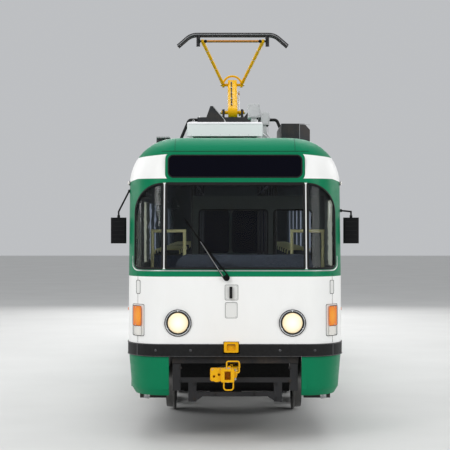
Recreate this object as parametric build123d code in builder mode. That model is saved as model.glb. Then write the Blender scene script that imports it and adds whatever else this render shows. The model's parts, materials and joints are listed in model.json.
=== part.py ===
from build123d import *
import math
import os

# Four-axle tram, seen from the front along +Y. Millimetres, X across, Y along, Z up.
# Z is 0 at the flange tips and the origin lies under the middle of the car.

os.makedirs("parts", exist_ok=True)

# Body shell
HALF_LENGTH = 7000.0
HALF_WIDTH = 1100.0
SHOULDER_R = 480.0
SHOULDER_Z = 2600.0
WALL = 60.0
MASK_WALL = 50.0
BODY_Z = 850.0
WAIST_Z = 1690.0
WAIST_SETBACK = 40.0
BROW_SETBACK = 200.0
MASK_LENGTH = 760.0
CORNER_SPREAD = 380.0
CORNER_STRETCH = 1.37
SEAT_GAP = 0.3
SHOULDER_X = HALF_WIDTH - SHOULDER_R
JOIN_Y = HALF_LENGTH - MASK_LENGTH
ROOF_Z = SHOULDER_Z + SHOULDER_R

# Dome of each end: angle round the shoulder, setback of the nose, spread of the corner
DOME_ROWS = [
    (0, BROW_SETBACK, CORNER_SPREAD),
    (7.5, BROW_SETBACK + 6, CORNER_SPREAD - 5),
    (15, BROW_SETBACK + 14, CORNER_SPREAD - 12),
    (22.5, BROW_SETBACK + 25, CORNER_SPREAD - 22),
    (30, BROW_SETBACK + 38, CORNER_SPREAD - 35),
    (37.5, BROW_SETBACK + 54, CORNER_SPREAD - 50),
    (45, BROW_SETBACK + 74, CORNER_SPREAD - 67),
    (52.5, BROW_SETBACK + 98, CORNER_SPREAD - 86),
    (60, BROW_SETBACK + 128, CORNER_SPREAD - 107),
    (67.5, BROW_SETBACK + 165, CORNER_SPREAD - 130),
    (75, BROW_SETBACK + 208, CORNER_SPREAD - 155),
    (82.5, BROW_SETBACK + 258, CORNER_SPREAD - 182),
    (90, BROW_SETBACK + 315, CORNER_SPREAD - 210),
]

# Bumper band and skirts
BUMPER_TOP_Z = 979.0
BUMPER_PROUD = 8.0
BUMPER_WALL = 55.0
SKIRT_Z = 455.0
SKIRT_TURN_Z = 520.0
SKIRT_WALL = 30.0
SKIRT_INSET = 5.0
SKIRT_LEAN = 28.0
SKIRT_TUCK = 68.0
SKIRT_GAP_HALF = 668.0
ARCH_HALF = 1480.0
ARCH_Z = 720.0
SKIRT_SEAM = 4.0

# Doorways on the car's right side: middle of each along Y
DOOR_END = HALF_LENGTH - 1500
DOOR_Y = {"front": -DOOR_END, "middle": 0.0, "rear": DOOR_END}
DOOR_HALF = 650.0
DOOR_TOP_Z = 2440.0
PANEL_SEAM = 4.0
LEAF_Z = 470.0
LEAF_THICK = 30.0
LEAF_EDGE_GAP = 5.0
LEAF_TOP_GAP = 8.0
LEAF_X = HALF_WIDTH - 20.0
HINGE_INSET = 6.0
KNUCKLE_R = 5.5
LEAF_FRAME = 48.0
PANE = 8.0

# Side windows: three fill each bay between doorways, the left side has one more across from each door
DOOR_PILLAR = 155.0
PILLAR = 160.0
WINDOW_WIDTH = (DOOR_END - 2 * DOOR_HALF - 2 * DOOR_PILLAR - 2 * PILLAR) / 3
WINDOW_PITCH = WINDOW_WIDTH + PILLAR
BAY_Y = [DOOR_END / 2 + step * WINDOW_PITCH for step in (-1, 0, 1)]
RIGHT_WINDOW_Y = [side * y for side in (-1, 1) for y in BAY_Y]
LEFT_WINDOW_Y = RIGHT_WINDOW_Y + list(DOOR_Y.values())
WINDOW_Z = 1730.0
WINDOW_TOP_Z = 2450.0
WINDOW_R = 70.0
PANE_DEPTH = 15.0

# Windscreen and rear window
SCREEN_HALF = 1028.0
SCREEN_Z = 1733.0
SCREEN_TOP_Z = 2600.0
SCREEN_TOP_R = 300.0
SCREEN_LOW_R = 50.0
STRIP_X = 719.0
STRIP_WIDTH = 27.0
GLASS_DEPTH = 14.0
REAR_HALF = 650.0
REAR_Z = 1640.0
REAR_TOP_Z = 2460.0
REAR_R = 90.0
REAR_POST = 40.0

# Route display over the windscreen
DISPLAY_HALF = 680.0
DISPLAY_Z = 2662.0
DISPLAY_TOP_Z = 2886.0
DISPLAY_R = 52.0
DISPLAY_RIM = 24.0
DISPLAY_FACE = HALF_LENGTH - BROW_SETBACK
DISPLAY_DEPTH = 130.0
DISPLAY_GLASS = 40.0
DISPLAY_SINK = 8.0

# Floor and underframe
FLOOR_Z = 928.0
FLOOR_THICK = 28.0
WALL_GAP = 5.0
SILL_X = 600.0
SILL_WIDTH = 80.0
SILL_Z = 780.0
BEARER_Z = 800.0
BEARER_WIDTH = 90.0
STEP_Z = 480.0
STEP_RISE = 224.0
STEP_DEPTH = 168.0
STEP_SHEET = 20.0

# Running gear
BOGIE_Y = HALF_LENGTH - 3800
WHEELBASE = 1900.0
AXLE_Z = 378.0
FLANGE_R = 378.0
TREAD_R = 350.0
WHEEL_BACK_X = 680.0
WHEEL_WIDTH = 110.0
FLANGE_WIDTH = 28.0
AXLE_R = 70.0
BEARING_FIT = 0.05

# Coupler pivots, in the underframe
COUPLER_PIVOT_Y = HALF_LENGTH - 700
COUPLER_Z = 712.0
BAR_HEIGHT = 70.0
PIVOT_PIN_R = 25.0
COUPLER_TOP_Z = COUPLER_Z + BAR_HEIGHT / 2


def end_outline(inset, setback, spread, half_width, back):
    """Plan outline of the front end, its corners quarter ellipses."""
    half = half_width - inset
    bend = spread - inset
    flat = half - bend
    nose = HALF_LENGTH - setback - inset
    turn = nose - bend * CORNER_STRETCH
    with BuildLine() as outline:
        Line((-flat, -nose), (flat, -nose))
        EllipticalCenterArc((flat, -turn), bend, bend * CORNER_STRETCH, start_angle=270, arc_size=90)
        Line((half, -turn), (half, -back))
        Line((half, -back), (-half, -back))
        Line((-half, -back), (-half, -turn))
        EllipticalCenterArc((-flat, -turn), bend, bend * CORNER_STRETCH, start_angle=180, arc_size=90)
    make_face(outline.edges())


def end_form(inset, back):
    """Closed form of the front end, from the bumper line to the roof."""
    shoulder = SHOULDER_R - inset
    with BuildPart() as form:
        for z, setback in ((BODY_Z, 0), (WAIST_Z, WAIST_SETBACK)):
            with BuildSketch(Plane.XY.offset(z)):
                end_outline(inset, setback, CORNER_SPREAD, HALF_WIDTH, back)
        for angle, setback, spread in DOME_ROWS:
            turn = math.radians(angle)
            width = SHOULDER_X + SHOULDER_R * math.cos(turn)
            with BuildSketch(Plane.XY.offset(SHOULDER_Z + shoulder * math.sin(turn))):
                end_outline(inset, setback, spread, width, back)
        loft(ruled=True)
    return form.part


def panel_form(proud):
    """Form of the lower front panel, moved outwards by proud."""
    with BuildPart() as form:
        for z, setback in ((BODY_Z, 0), (WAIST_Z, WAIST_SETBACK)):
            with BuildSketch(Plane.XY.offset(z)):
                end_outline(-proud, setback, CORNER_SPREAD, HALF_WIDTH, JOIN_Y)
        loft(ruled=True)
    return form.part


outer_end = end_form(0, JOIN_Y)
inner_end = end_form(MASK_WALL, JOIN_Y - 20)

# Front mask with three panes' openings, lamp bowls, display box and socket notch
LAMP_X = 576.0
LAMP_Z = 1190.0
LAMP_R = 135.5
LENS_R = 102.0
LAMP_DEPTH = 90.0
SOCKET_X = -40.0
SOCKET_WIDTH = 146.0
SOCKET_Z = 893.0
SOCKET_HEIGHT = 105.0
SOCKET_DEPTH = 90.0
SOCKET_GAP = 5.0

PANES = [
    (-SCREEN_HALF, -STRIP_X - STRIP_WIDTH / 2),
    (-STRIP_X + STRIP_WIDTH / 2, STRIP_X - STRIP_WIDTH / 2),
    (STRIP_X + STRIP_WIDTH / 2, SCREEN_HALF),
]


def screen_panes(gap):
    """Windscreen outline split into three panes, each smaller by gap, on a front-facing plane."""
    middle = (SCREEN_Z + SCREEN_TOP_Z) / 2
    height = SCREEN_TOP_Z - SCREEN_Z
    with BuildSketch() as outline:
        with Locations((0, middle)):
            Rectangle(2 * SCREEN_HALF, height)
        top = outline.vertices().group_by(Axis.Y)[-1]
        fillet(top, SCREEN_TOP_R)
        low = outline.vertices().group_by(Axis.Y)[0]
        fillet(low, SCREEN_LOW_R)
        offset(amount=-gap)
        for side in (-1, 1):
            with Locations((side * STRIP_X, middle)):
                Rectangle(STRIP_WIDTH + 2 * gap, height, mode=Mode.SUBTRACT)
    return outline.sketch_local


with BuildPart() as front_mask:
    add(outer_end)
    with BuildSketch(Plane.XZ.offset(DISPLAY_FACE)):
        with Locations((0, (DISPLAY_Z + DISPLAY_TOP_Z) / 2)):
            RectangleRounded(
                2 * (DISPLAY_HALF + DISPLAY_RIM),
                DISPLAY_TOP_Z - DISPLAY_Z + 2 * DISPLAY_RIM,
                DISPLAY_R + DISPLAY_RIM,
            )
    extrude(amount=-DISPLAY_DEPTH)
    add(inner_end, mode=Mode.SUBTRACT)
    with Locations((0, -HALF_LENGTH, BODY_Z)):
        Box(
            2 * HALF_LENGTH,
            2 * HALF_LENGTH,
            2 * (BUMPER_TOP_Z - BODY_Z),
            mode=Mode.SUBTRACT,
        )
    with BuildSketch(Plane.XZ.offset(DISPLAY_FACE)):
        with Locations((0, (DISPLAY_Z + DISPLAY_TOP_Z) / 2)):
            RectangleRounded(2 * DISPLAY_HALF, DISPLAY_TOP_Z - DISPLAY_Z, DISPLAY_R)
    extrude(amount=-DISPLAY_GLASS - DISPLAY_SINK, mode=Mode.SUBTRACT)
    with BuildSketch(Plane.XZ.offset(HALF_LENGTH)):
        add(screen_panes(0))
    extrude(amount=-MASK_LENGTH, mode=Mode.SUBTRACT)
    with BuildSketch(Plane.XZ.offset(HALF_LENGTH)):
        with Locations((-LAMP_X, LAMP_Z), (LAMP_X, LAMP_Z)):
            Circle(LAMP_R + SEAT_GAP)
    extrude(amount=-MASK_LENGTH / 4, mode=Mode.SUBTRACT)
    with Locations((SOCKET_X, -HALF_LENGTH, SOCKET_Z + SOCKET_HEIGHT / 2)):
        Box(
            SOCKET_WIDTH + 2 * SOCKET_GAP,
            4 * SOCKET_DEPTH,
            SOCKET_HEIGHT + 2 * SOCKET_GAP,
            mode=Mode.SUBTRACT,
        )
front_mask.part.label = "front_mask"
export_step(front_mask.part, "parts/front_mask.step")

# Rear mask with one wide window and its middle post
REAR_PANES = (-1, 1)
REAR_PANE_WIDTH = REAR_HALF - REAR_POST / 2

with BuildPart() as rear_mask:
    add(outer_end)
    add(inner_end, mode=Mode.SUBTRACT)
    with Locations((0, -HALF_LENGTH, BODY_Z)):
        Box(
            2 * HALF_LENGTH,
            2 * HALF_LENGTH,
            2 * (BUMPER_TOP_Z - BODY_Z),
            mode=Mode.SUBTRACT,
        )
    with BuildSketch(Plane.XZ.offset(HALF_LENGTH)):
        for side in REAR_PANES:
            with Locations((side * (REAR_HALF + REAR_POST / 2) / 2, (REAR_Z + REAR_TOP_Z) / 2)):
                RectangleRounded(REAR_PANE_WIDTH, REAR_TOP_Z - REAR_Z, REAR_R)
    extrude(amount=-MASK_LENGTH, mode=Mode.SUBTRACT)
    mirror(about=Plane.XZ, mode=Mode.REPLACE)
rear_mask.part.label = "rear_mask"
export_step(rear_mask.part, "parts/rear_mask.step")

# Roof between the masks
with BuildPart() as roof:
    with BuildSketch(Plane.XZ.offset(JOIN_Y)) as roof_section:
        for inset, mode in ((0, Mode.ADD), (WALL, Mode.SUBTRACT)):
            with BuildLine() as arch:
                low = SHOULDER_Z
                half = HALF_WIDTH - inset
                turn = SHOULDER_R - inset
                Line((-half, low), (half, low))
                RadiusArc((half, low), (SHOULDER_X, low + turn), -turn)
                Line((SHOULDER_X, low + turn), (-SHOULDER_X, low + turn))
                RadiusArc((-SHOULDER_X, low + turn), (-half, low), -turn)
            make_face(arch.edges(), mode=mode)
    extrude(amount=-2 * JOIN_Y)
roof.part.label = "roof"
export_step(roof.part, "parts/roof.step")


def window_row(centres, gap):
    """Rounded side window outlines seen along X, each smaller by gap."""
    with BuildSketch() as row:
        with Locations([(y, (WINDOW_Z + WINDOW_TOP_Z) / 2) for y in centres]):
            RectangleRounded(
                WINDOW_WIDTH - 2 * gap,
                WINDOW_TOP_Z - WINDOW_Z - 2 * gap,
                WINDOW_R - gap,
            )
    return row.sketch_local


# Side walls: left without doors, right with three doorways
with BuildPart() as side_left:
    with Locations((HALF_WIDTH - WALL / 2, 0, (BODY_Z + SHOULDER_Z) / 2)):
        Box(WALL, 2 * JOIN_Y, SHOULDER_Z - BODY_Z)
    with BuildSketch(Plane.YZ.offset(HALF_WIDTH)):
        add(window_row(LEFT_WINDOW_Y, 0))
    extrude(amount=-WALL, mode=Mode.SUBTRACT)
side_left.part.label = "side_left"
export_step(side_left.part, "parts/side_left.step")

with BuildPart() as side_right:
    with Locations((-HALF_WIDTH + WALL / 2, 0, (BODY_Z + SHOULDER_Z) / 2)):
        Box(WALL, 2 * JOIN_Y, SHOULDER_Z - BODY_Z)
    with BuildSketch(Plane.YZ.offset(-HALF_WIDTH)):
        add(window_row(RIGHT_WINDOW_Y, 0))
    extrude(amount=WALL, mode=Mode.SUBTRACT)
    for door_y in DOOR_Y.values():
        with Locations((-HALF_WIDTH + WALL / 2, door_y, (BODY_Z + DOOR_TOP_Z) / 2)):
            Box(WALL, 2 * DOOR_HALF, DOOR_TOP_Z - BODY_Z, mode=Mode.SUBTRACT)
        for side in (-1, 1):
            seam_y = door_y + side * (DOOR_HALF - PANEL_SEAM / 2)
            with Locations((-HALF_WIDTH + WALL / 2, seam_y, (BODY_Z + SHOULDER_Z) / 2)):
                Box(WALL, PANEL_SEAM, SHOULDER_Z - BODY_Z, mode=Mode.SUBTRACT)
side_right.part.label = "side_right"
export_step(side_right.part, "parts/side_right.step")

# Side glazing, one pane in each window
with BuildPart() as side_windows:
    with BuildSketch(Plane.YZ.offset(HALF_WIDTH - PANE_DEPTH)):
        add(window_row(LEFT_WINDOW_Y, SEAT_GAP))
    extrude(amount=-PANE)
    with BuildSketch(Plane.YZ.offset(-HALF_WIDTH + PANE_DEPTH)):
        add(window_row(RIGHT_WINDOW_Y, SEAT_GAP))
    extrude(amount=PANE)
side_windows.part.label = "side_windows"
export_step(side_windows.part, "parts/side_windows.step")

# Windscreen panes follow the mask's curve
with BuildPart() as windscreen:
    add(end_form(GLASS_DEPTH, JOIN_Y))
    add(end_form(GLASS_DEPTH + PANE, JOIN_Y - 20), mode=Mode.SUBTRACT)
    with BuildSketch(Plane.XZ.offset(HALF_LENGTH)):
        add(screen_panes(SEAT_GAP))
    extrude(amount=-MASK_LENGTH, mode=Mode.INTERSECT)
windscreen.part.label = "windscreen"
export_step(windscreen.part, "parts/windscreen.step")

with BuildPart() as rear_window:
    add(end_form(GLASS_DEPTH, JOIN_Y))
    add(end_form(GLASS_DEPTH + PANE, JOIN_Y - 20), mode=Mode.SUBTRACT)
    with BuildSketch(Plane.XZ.offset(HALF_LENGTH)):
        for side in REAR_PANES:
            with Locations((side * (REAR_HALF + REAR_POST / 2) / 2, (REAR_Z + REAR_TOP_Z) / 2)):
                RectangleRounded(
                    REAR_PANE_WIDTH - 2 * SEAT_GAP,
                    REAR_TOP_Z - REAR_Z - 2 * SEAT_GAP,
                    REAR_R - SEAT_GAP,
                )
    extrude(amount=-MASK_LENGTH, mode=Mode.INTERSECT)
    mirror(about=Plane.XZ, mode=Mode.REPLACE)
rear_window.part.label = "rear_window"
export_step(rear_window.part, "parts/rear_window.step")

with BuildPart() as display:
    with BuildSketch(Plane.XZ.offset(DISPLAY_FACE - DISPLAY_SINK)):
        with Locations((0, (DISPLAY_Z + DISPLAY_TOP_Z) / 2)):
            RectangleRounded(
                2 * (DISPLAY_HALF - SEAT_GAP),
                DISPLAY_TOP_Z - DISPLAY_Z - 2 * SEAT_GAP,
                DISPLAY_R - SEAT_GAP,
            )
    extrude(amount=-DISPLAY_GLASS)
display.part.label = "display"
export_step(display.part, "parts/display.step")

# Black bumper bands round both ends, open at the socket in front
HEADSTOCK_DEPTH = 70.0
HEADSTOCK_Y = HALF_LENGTH + BUMPER_PROUD - BUMPER_WALL - SEAT_GAP
NOTCH_WIDTH = 166.0
NOTCH_Z = 880.0


def bumper_ring():
    """Bumper band round the front corners."""
    with BuildPart() as ring:
        with BuildSketch(Plane.XY.offset(BODY_Z)):
            end_outline(-BUMPER_PROUD, 0, CORNER_SPREAD, HALF_WIDTH, JOIN_Y + SEAT_GAP)
        extrude(amount=BUMPER_TOP_Z - BODY_Z - SEAT_GAP)
        with BuildSketch(Plane.XY.offset(BODY_Z)):
            end_outline(BUMPER_WALL - BUMPER_PROUD, 0, CORNER_SPREAD, HALF_WIDTH, JOIN_Y - WALL)
        extrude(amount=BUMPER_TOP_Z - BODY_Z, mode=Mode.SUBTRACT)
        edge = ring.faces().sort_by(Axis.Y)[0].edges().filter_by(Axis.X)
        chamfer(edge, BUMPER_PROUD)
    return ring.part


with BuildPart() as bumpers:
    add(bumper_ring())
    mirror(about=Plane.XZ)
    with Locations((SOCKET_X, -HALF_LENGTH, (NOTCH_Z + BUMPER_TOP_Z) / 2)):
        Box(NOTCH_WIDTH, 3 * BUMPER_WALL, BUMPER_TOP_Z - NOTCH_Z, mode=Mode.SUBTRACT)
bumpers.part.label = "bumpers"
export_step(bumpers.part, "parts/bumpers.step")

# Yellow socket box in the bumper's notch
SOCKET_FACE = HALF_LENGTH + BUMPER_PROUD + 6
SOCKET_RIM = 14.0

with BuildPart() as socket_box:
    with BuildSketch(Plane.XZ.offset(SOCKET_FACE)):
        with Locations((SOCKET_X, SOCKET_Z + SOCKET_HEIGHT / 2)):
            RectangleRounded(SOCKET_WIDTH, SOCKET_HEIGHT, SOCKET_RIM)
    extrude(amount=-(SOCKET_FACE - HEADSTOCK_Y - SEAT_GAP))
    with BuildSketch(Plane.XZ.offset(SOCKET_FACE)):
        with Locations((SOCKET_X, SOCKET_Z + SOCKET_HEIGHT / 2)):
            RectangleRounded(
                SOCKET_WIDTH - 4 * SOCKET_RIM,
                SOCKET_HEIGHT - 3 * SOCKET_RIM,
                SOCKET_RIM,
            )
    extrude(amount=-2 * SOCKET_RIM, mode=Mode.SUBTRACT)
socket_box.part.label = "socket_box"
export_step(socket_box.part, "parts/socket_box.step")

# Skirts: corner shells in front and behind, and side sheets parted by seams at wheels and corners
SKIRT_ROWS = [
    (BODY_Z - SEAT_GAP, SKIRT_INSET),
    (SKIRT_TURN_Z, SKIRT_INSET + SKIRT_LEAN),
    (SKIRT_Z, SKIRT_INSET + SKIRT_TUCK),
]

with BuildPart() as skirt_corner:
    for z, inset in SKIRT_ROWS:
        with BuildSketch(Plane.XY.offset(z)):
            end_outline(inset, 0, CORNER_SPREAD, HALF_WIDTH, JOIN_Y)
    loft(ruled=True)
    for z, inset in SKIRT_ROWS:
        with BuildSketch(Plane.XY.offset(z)):
            end_outline(inset + SKIRT_WALL, 0, CORNER_SPREAD, HALF_WIDTH, JOIN_Y - WALL)
    loft(ruled=True, mode=Mode.SUBTRACT)
    with Locations((0, -HALF_LENGTH, SKIRT_Z)):
        Box(2 * SKIRT_GAP_HALF, HALF_LENGTH / 5, 2 * BODY_Z, mode=Mode.SUBTRACT)

with BuildPart() as skirts:
    with BuildSketch(Plane.XZ.offset(JOIN_Y)):
        with BuildLine() as skirt_line:
            rows = [(HALF_WIDTH - inset, z) for z, inset in SKIRT_ROWS]
            back = [(HALF_WIDTH - inset - SKIRT_WALL, z) for z, inset in reversed(SKIRT_ROWS)]
            Polyline(*rows, *back, close=True)
        make_face(skirt_line.edges())
        mirror(about=Plane.YZ)
    extrude(amount=-2 * JOIN_Y)
    with Locations((0, -BOGIE_Y, SKIRT_Z), (0, BOGIE_Y, SKIRT_Z)):
        Box(4 * HALF_WIDTH, 2 * ARCH_HALF, 2 * (ARCH_Z - SKIRT_Z), mode=Mode.SUBTRACT)
    for door_y in DOOR_Y.values():
        with Locations((-HALF_WIDTH, door_y, BODY_Z)):
            Box(HALF_WIDTH, 2 * DOOR_HALF, 2 * BODY_Z, mode=Mode.SUBTRACT)
    seams = [side * run for side in (-1, 1) for run in (BOGIE_Y - ARCH_HALF, BOGIE_Y + ARCH_HALF, JOIN_Y)]
    with Locations([(0, y, BODY_Z) for y in seams]):
        Box(4 * HALF_WIDTH, SKIRT_SEAM, 2 * BODY_Z, mode=Mode.SUBTRACT)
    add(skirt_corner.part)
    add(mirror(skirt_corner.part, about=Plane.XZ, mode=Mode.PRIVATE))
skirts.part.label = "skirts"
export_step(skirts.part, "parts/skirts.step")

# Floor plate with the step wells let in
STEP_EDGE_X = LEAF_X - LEAF_THICK / 2 - HINGE_INSET - KNUCKLE_R - LEAF_EDGE_GAP
WELL_X = STEP_EDGE_X - 2 * STEP_DEPTH
WELL_GAP = 10.0
WELL_HALF = DOOR_HALF - SEAT_GAP
UNDER_Z = FLOOR_Z - FLOOR_THICK
FLOOR_HALF = HALF_WIDTH - WALL - WALL_GAP
FLOOR_END = HEADSTOCK_Y - HEADSTOCK_DEPTH - SEAT_GAP

with BuildPart() as floor:
    with BuildSketch(Plane.XY.offset(UNDER_Z)) as floor_plan:
        end_outline(WALL + WALL_GAP, 0, CORNER_SPREAD, HALF_WIDTH, JOIN_Y - WALL)
        mirror(about=Plane.XZ)
        Rectangle(2 * FLOOR_HALF, 2 * JOIN_Y)
        Rectangle(2 * HALF_WIDTH, 2 * FLOOR_END, mode=Mode.INTERSECT)
        for door_y in DOOR_Y.values():
            with Locations((-(WELL_X + HALF_WIDTH) / 2, door_y)):
                Rectangle(HALF_WIDTH - WELL_X, 2 * WELL_HALF, mode=Mode.SUBTRACT)
    extrude(amount=FLOOR_THICK)
floor.part.label = "floor"
export_step(floor.part, "parts/floor.step")

# Stepped wells behind the doors
with BuildPart() as steps:
    for door_y in DOOR_Y.values():
        tread = [
            (-STEP_EDGE_X, STEP_Z),
            (-STEP_EDGE_X + STEP_DEPTH, STEP_Z),
            (-STEP_EDGE_X + STEP_DEPTH, STEP_Z + STEP_RISE),
            (-WELL_X, STEP_Z + STEP_RISE),
            (-WELL_X, UNDER_Z - SEAT_GAP),
        ]
        under = [
            (-WELL_X + STEP_SHEET, UNDER_Z - SEAT_GAP),
            (-WELL_X + STEP_SHEET, STEP_Z + STEP_RISE - STEP_SHEET),
            (-STEP_EDGE_X + STEP_DEPTH + STEP_SHEET, STEP_Z + STEP_RISE - STEP_SHEET),
            (-STEP_EDGE_X + STEP_DEPTH + STEP_SHEET, STEP_Z - STEP_SHEET),
            (-STEP_EDGE_X, STEP_Z - STEP_SHEET),
        ]
        with BuildSketch(Plane.XZ.offset(-door_y + WELL_HALF)):
            with BuildLine() as stair:
                Polyline(*tread, *under, close=True)
            make_face(stair.edges())
        extrude(amount=-2 * WELL_HALF)
        for side in (1, -1):
            with BuildSketch(Plane.XZ.offset(-door_y + side * WELL_HALF)):
                with BuildLine() as cheek:
                    Polyline((-STEP_EDGE_X, UNDER_Z - SEAT_GAP), *under, close=True)
                make_face(cheek.edges())
            extrude(amount=-side * WELL_GAP)
steps.part.label = "steps"
export_step(steps.part, "parts/steps.step")

# Underframe: two centre sills, headstocks, bearers, bolsters and side sills
BOLSTER_Z = 768.0
BOLSTER_WIDTH = 300.0
BEARER_RUNS = (DOOR_HALF + 70, BOGIE_Y - ARCH_HALF - 60, BOGIE_Y + ARCH_HALF + 60)
BEARER_Y = [side * run for side in (-1, 1) for run in BEARER_RUNS]
SIDE_SILL = 60.0
UNDER_TOP = UNDER_Z - SEAT_GAP

with BuildPart() as underframe:
    for side in (-1, 1):
        with Locations((side * SILL_X, 0, (SILL_Z + UNDER_TOP) / 2)):
            Box(SILL_WIDTH, 2 * FLOOR_END, UNDER_TOP - SILL_Z)
        stock_top = BUMPER_TOP_Z - WALL_GAP
        with Locations((0, side * (FLOOR_END + SEAT_GAP + HEADSTOCK_DEPTH / 2), (SILL_Z + stock_top) / 2)):
            Box(2 * SILL_X + SILL_WIDTH, HEADSTOCK_DEPTH + 2 * SEAT_GAP, stock_top - SILL_Z)
        with Locations((0, side * BOGIE_Y, (BOLSTER_Z + UNDER_TOP) / 2)):
            Box(2 * FLOOR_HALF, BOLSTER_WIDTH, UNDER_TOP - BOLSTER_Z)
        with Locations((-FLOOR_HALF + SIDE_SILL / 2, side * DOOR_END / 2, (BEARER_Z + UNDER_TOP) / 2)):
            Box(SIDE_SILL, DOOR_Y["rear"] - 2 * DOOR_HALF - 2 * WELL_GAP, UNDER_TOP - BEARER_Z)
    with Locations((FLOOR_HALF - SIDE_SILL / 2, 0, (BEARER_Z + UNDER_TOP) / 2)):
        Box(SIDE_SILL, 2 * JOIN_Y, UNDER_TOP - BEARER_Z)
    with Locations([(0, y, (BEARER_Z + UNDER_TOP) / 2) for y in BEARER_Y]):
        Box(2 * FLOOR_HALF, BEARER_WIDTH, UNDER_TOP - BEARER_Z)
    for side in (-1, 1):
        with Locations((0, side * COUPLER_PIVOT_Y, (COUPLER_TOP_Z + SEAT_GAP + UNDER_TOP) / 2)):
            Box(2 * SILL_X, BEARER_WIDTH * 2, UNDER_TOP - COUPLER_TOP_Z - SEAT_GAP)
        with Locations((0, side * COUPLER_PIVOT_Y, COUPLER_Z)):
            Cylinder(PIVOT_PIN_R, BAR_HEIGHT + 4 * WALL_GAP)
underframe.part.label = "underframe"
export_step(underframe.part, "parts/underframe.step")

# Guard frames hung from both headstocks
GUARD_ROWS = [
    # middle x, width, low z, top z
    (592, 80, 503, SILL_Z - SEAT_GAP),
    (276, 560, 587, 637),
    (432, 82, 392, 600),
    (196, 396, 446, 490),
]
GUARD_THICK = 34.0
GUARD_BEVEL = 45.0

with BuildPart() as end_guards:
    with BuildSketch(Plane.XZ.offset(HEADSTOCK_Y - SOCKET_RIM)):
        for middle, width, low, top in GUARD_ROWS:
            with Locations((middle, (low + top) / 2), (-middle, (low + top) / 2)):
                Rectangle(width, top - low)
        for side in (-1, 1):
            with BuildLine() as shoulder:
                foot_x, foot_z = side * 392, GUARD_ROWS[3][2]
                Polyline(
                    (foot_x, foot_z + 1),
                    (foot_x, foot_z - GUARD_BEVEL),
                    (foot_x - side * GUARD_BEVEL * 1.5, foot_z + 1),
                    close=True,
                )
            make_face(shoulder.edges())
    extrude(amount=-GUARD_THICK)
    mirror(about=Plane.XZ)
end_guards.part.label = "end_guards"
export_step(end_guards.part, "parts/end_guards.step")

# Headlights: chrome bowls sunk in the mask and their lenses
RIM_PROUD = 12.0
LAMP_FACE = HALF_LENGTH - (LAMP_Z - BODY_Z) / (WAIST_Z - BODY_Z) * WAIST_SETBACK + RIM_PROUD
LAMP_FLOOR = 20.0
LENS_THICK = 30.0
LENS_SINK = 6.0

with BuildPart() as headlight_rims:
    for side in (-1, 1):
        with BuildSketch(Plane.XZ.offset(LAMP_FACE)):
            with Locations((side * LAMP_X, LAMP_Z)):
                Circle(LAMP_R)
        extrude(amount=-LAMP_DEPTH)
    outer_edges = headlight_rims.edges().filter_by(GeomType.CIRCLE).group_by(Axis.Y)[0]
    fillet(outer_edges, RIM_PROUD - 2)
    for side in (-1, 1):
        with BuildSketch(Plane.XZ.offset(LAMP_FACE)):
            with Locations((side * LAMP_X, LAMP_Z)):
                Circle(LENS_R + SEAT_GAP)
        extrude(amount=-LAMP_DEPTH + LAMP_FLOOR, mode=Mode.SUBTRACT)
headlight_rims.part.label = "headlight_rims"
export_step(headlight_rims.part, "parts/headlight_rims.step")

# Corner lamps and pale plates hug the mask: middle x, width, middle z, height
CLEAR_LAMP = (988, 74, 1106, 92)
TURN_LAMP = (994, 86, 1256, 196)
LAMP_PLATE = (982, 118, 1214, 313)
PILL = (984, 36, 1547, 132)
HANDLE_PLATE = (-37, 127, 1496, 148)
BLANK_PANEL = (-40, 116, 1317, 151)
PLATE_THICK = 6.0
LAMP_PROUD = 24.0

with BuildPart() as lenses:
    for side in (-1, 1):
        with BuildSketch(Plane.XZ.offset(LAMP_FACE - LENS_SINK)):
            with Locations((side * LAMP_X, LAMP_Z)):
                Circle(LENS_R)
        extrude(amount=-LENS_THICK)

with BuildPart() as clear_corner:
    add(panel_form(LAMP_PROUD))
    add(panel_form(PLATE_THICK + SEAT_GAP), mode=Mode.SUBTRACT)
    with BuildSketch(Plane.XZ.offset(HALF_LENGTH + WALL)):
        x, width, z, height = CLEAR_LAMP
        with Locations((x, z), (-x, z)):
            RectangleRounded(width, height - 2 * SEAT_GAP, 8)
    extrude(amount=-MASK_LENGTH, mode=Mode.INTERSECT)

with BuildPart() as clear_lamps:
    add(lenses.part)
    add(clear_corner.part)
clear_lamps.part.label = "clear_lamps"
export_step(clear_lamps.part, "parts/clear_lamps.step")

with BuildPart() as indicators:
    add(panel_form(LAMP_PROUD))
    add(panel_form(PLATE_THICK + SEAT_GAP), mode=Mode.SUBTRACT)
    with BuildSketch(Plane.XZ.offset(HALF_LENGTH + WALL)):
        x, width, z, height = TURN_LAMP
        with Locations((x, z), (-x, z)):
            RectangleRounded(width, height, 10)
    extrude(amount=-MASK_LENGTH, mode=Mode.INTERSECT)
indicators.part.label = "indicators"
export_step(indicators.part, "parts/indicators.step")

# Rear lamps, two round ones in each corner
TAIL_R = 62.0
TAIL_X = 800.0
TAIL_ROWS = (1120, 1290)

with BuildPart() as tail_lamps:
    add(panel_form(LAMP_PROUD))
    add(panel_form(SEAT_GAP), mode=Mode.SUBTRACT)
    with BuildSketch(Plane.XZ.offset(HALF_LENGTH + WALL)):
        for z in TAIL_ROWS:
            with Locations((TAIL_X, z), (-TAIL_X, z)):
                Circle(TAIL_R)
    extrude(amount=-MASK_LENGTH, mode=Mode.INTERSECT)
    mirror(about=Plane.XZ, mode=Mode.REPLACE)
tail_lamps.part.label = "tail_lamps"
export_step(tail_lamps.part, "parts/tail_lamps.step")

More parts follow.
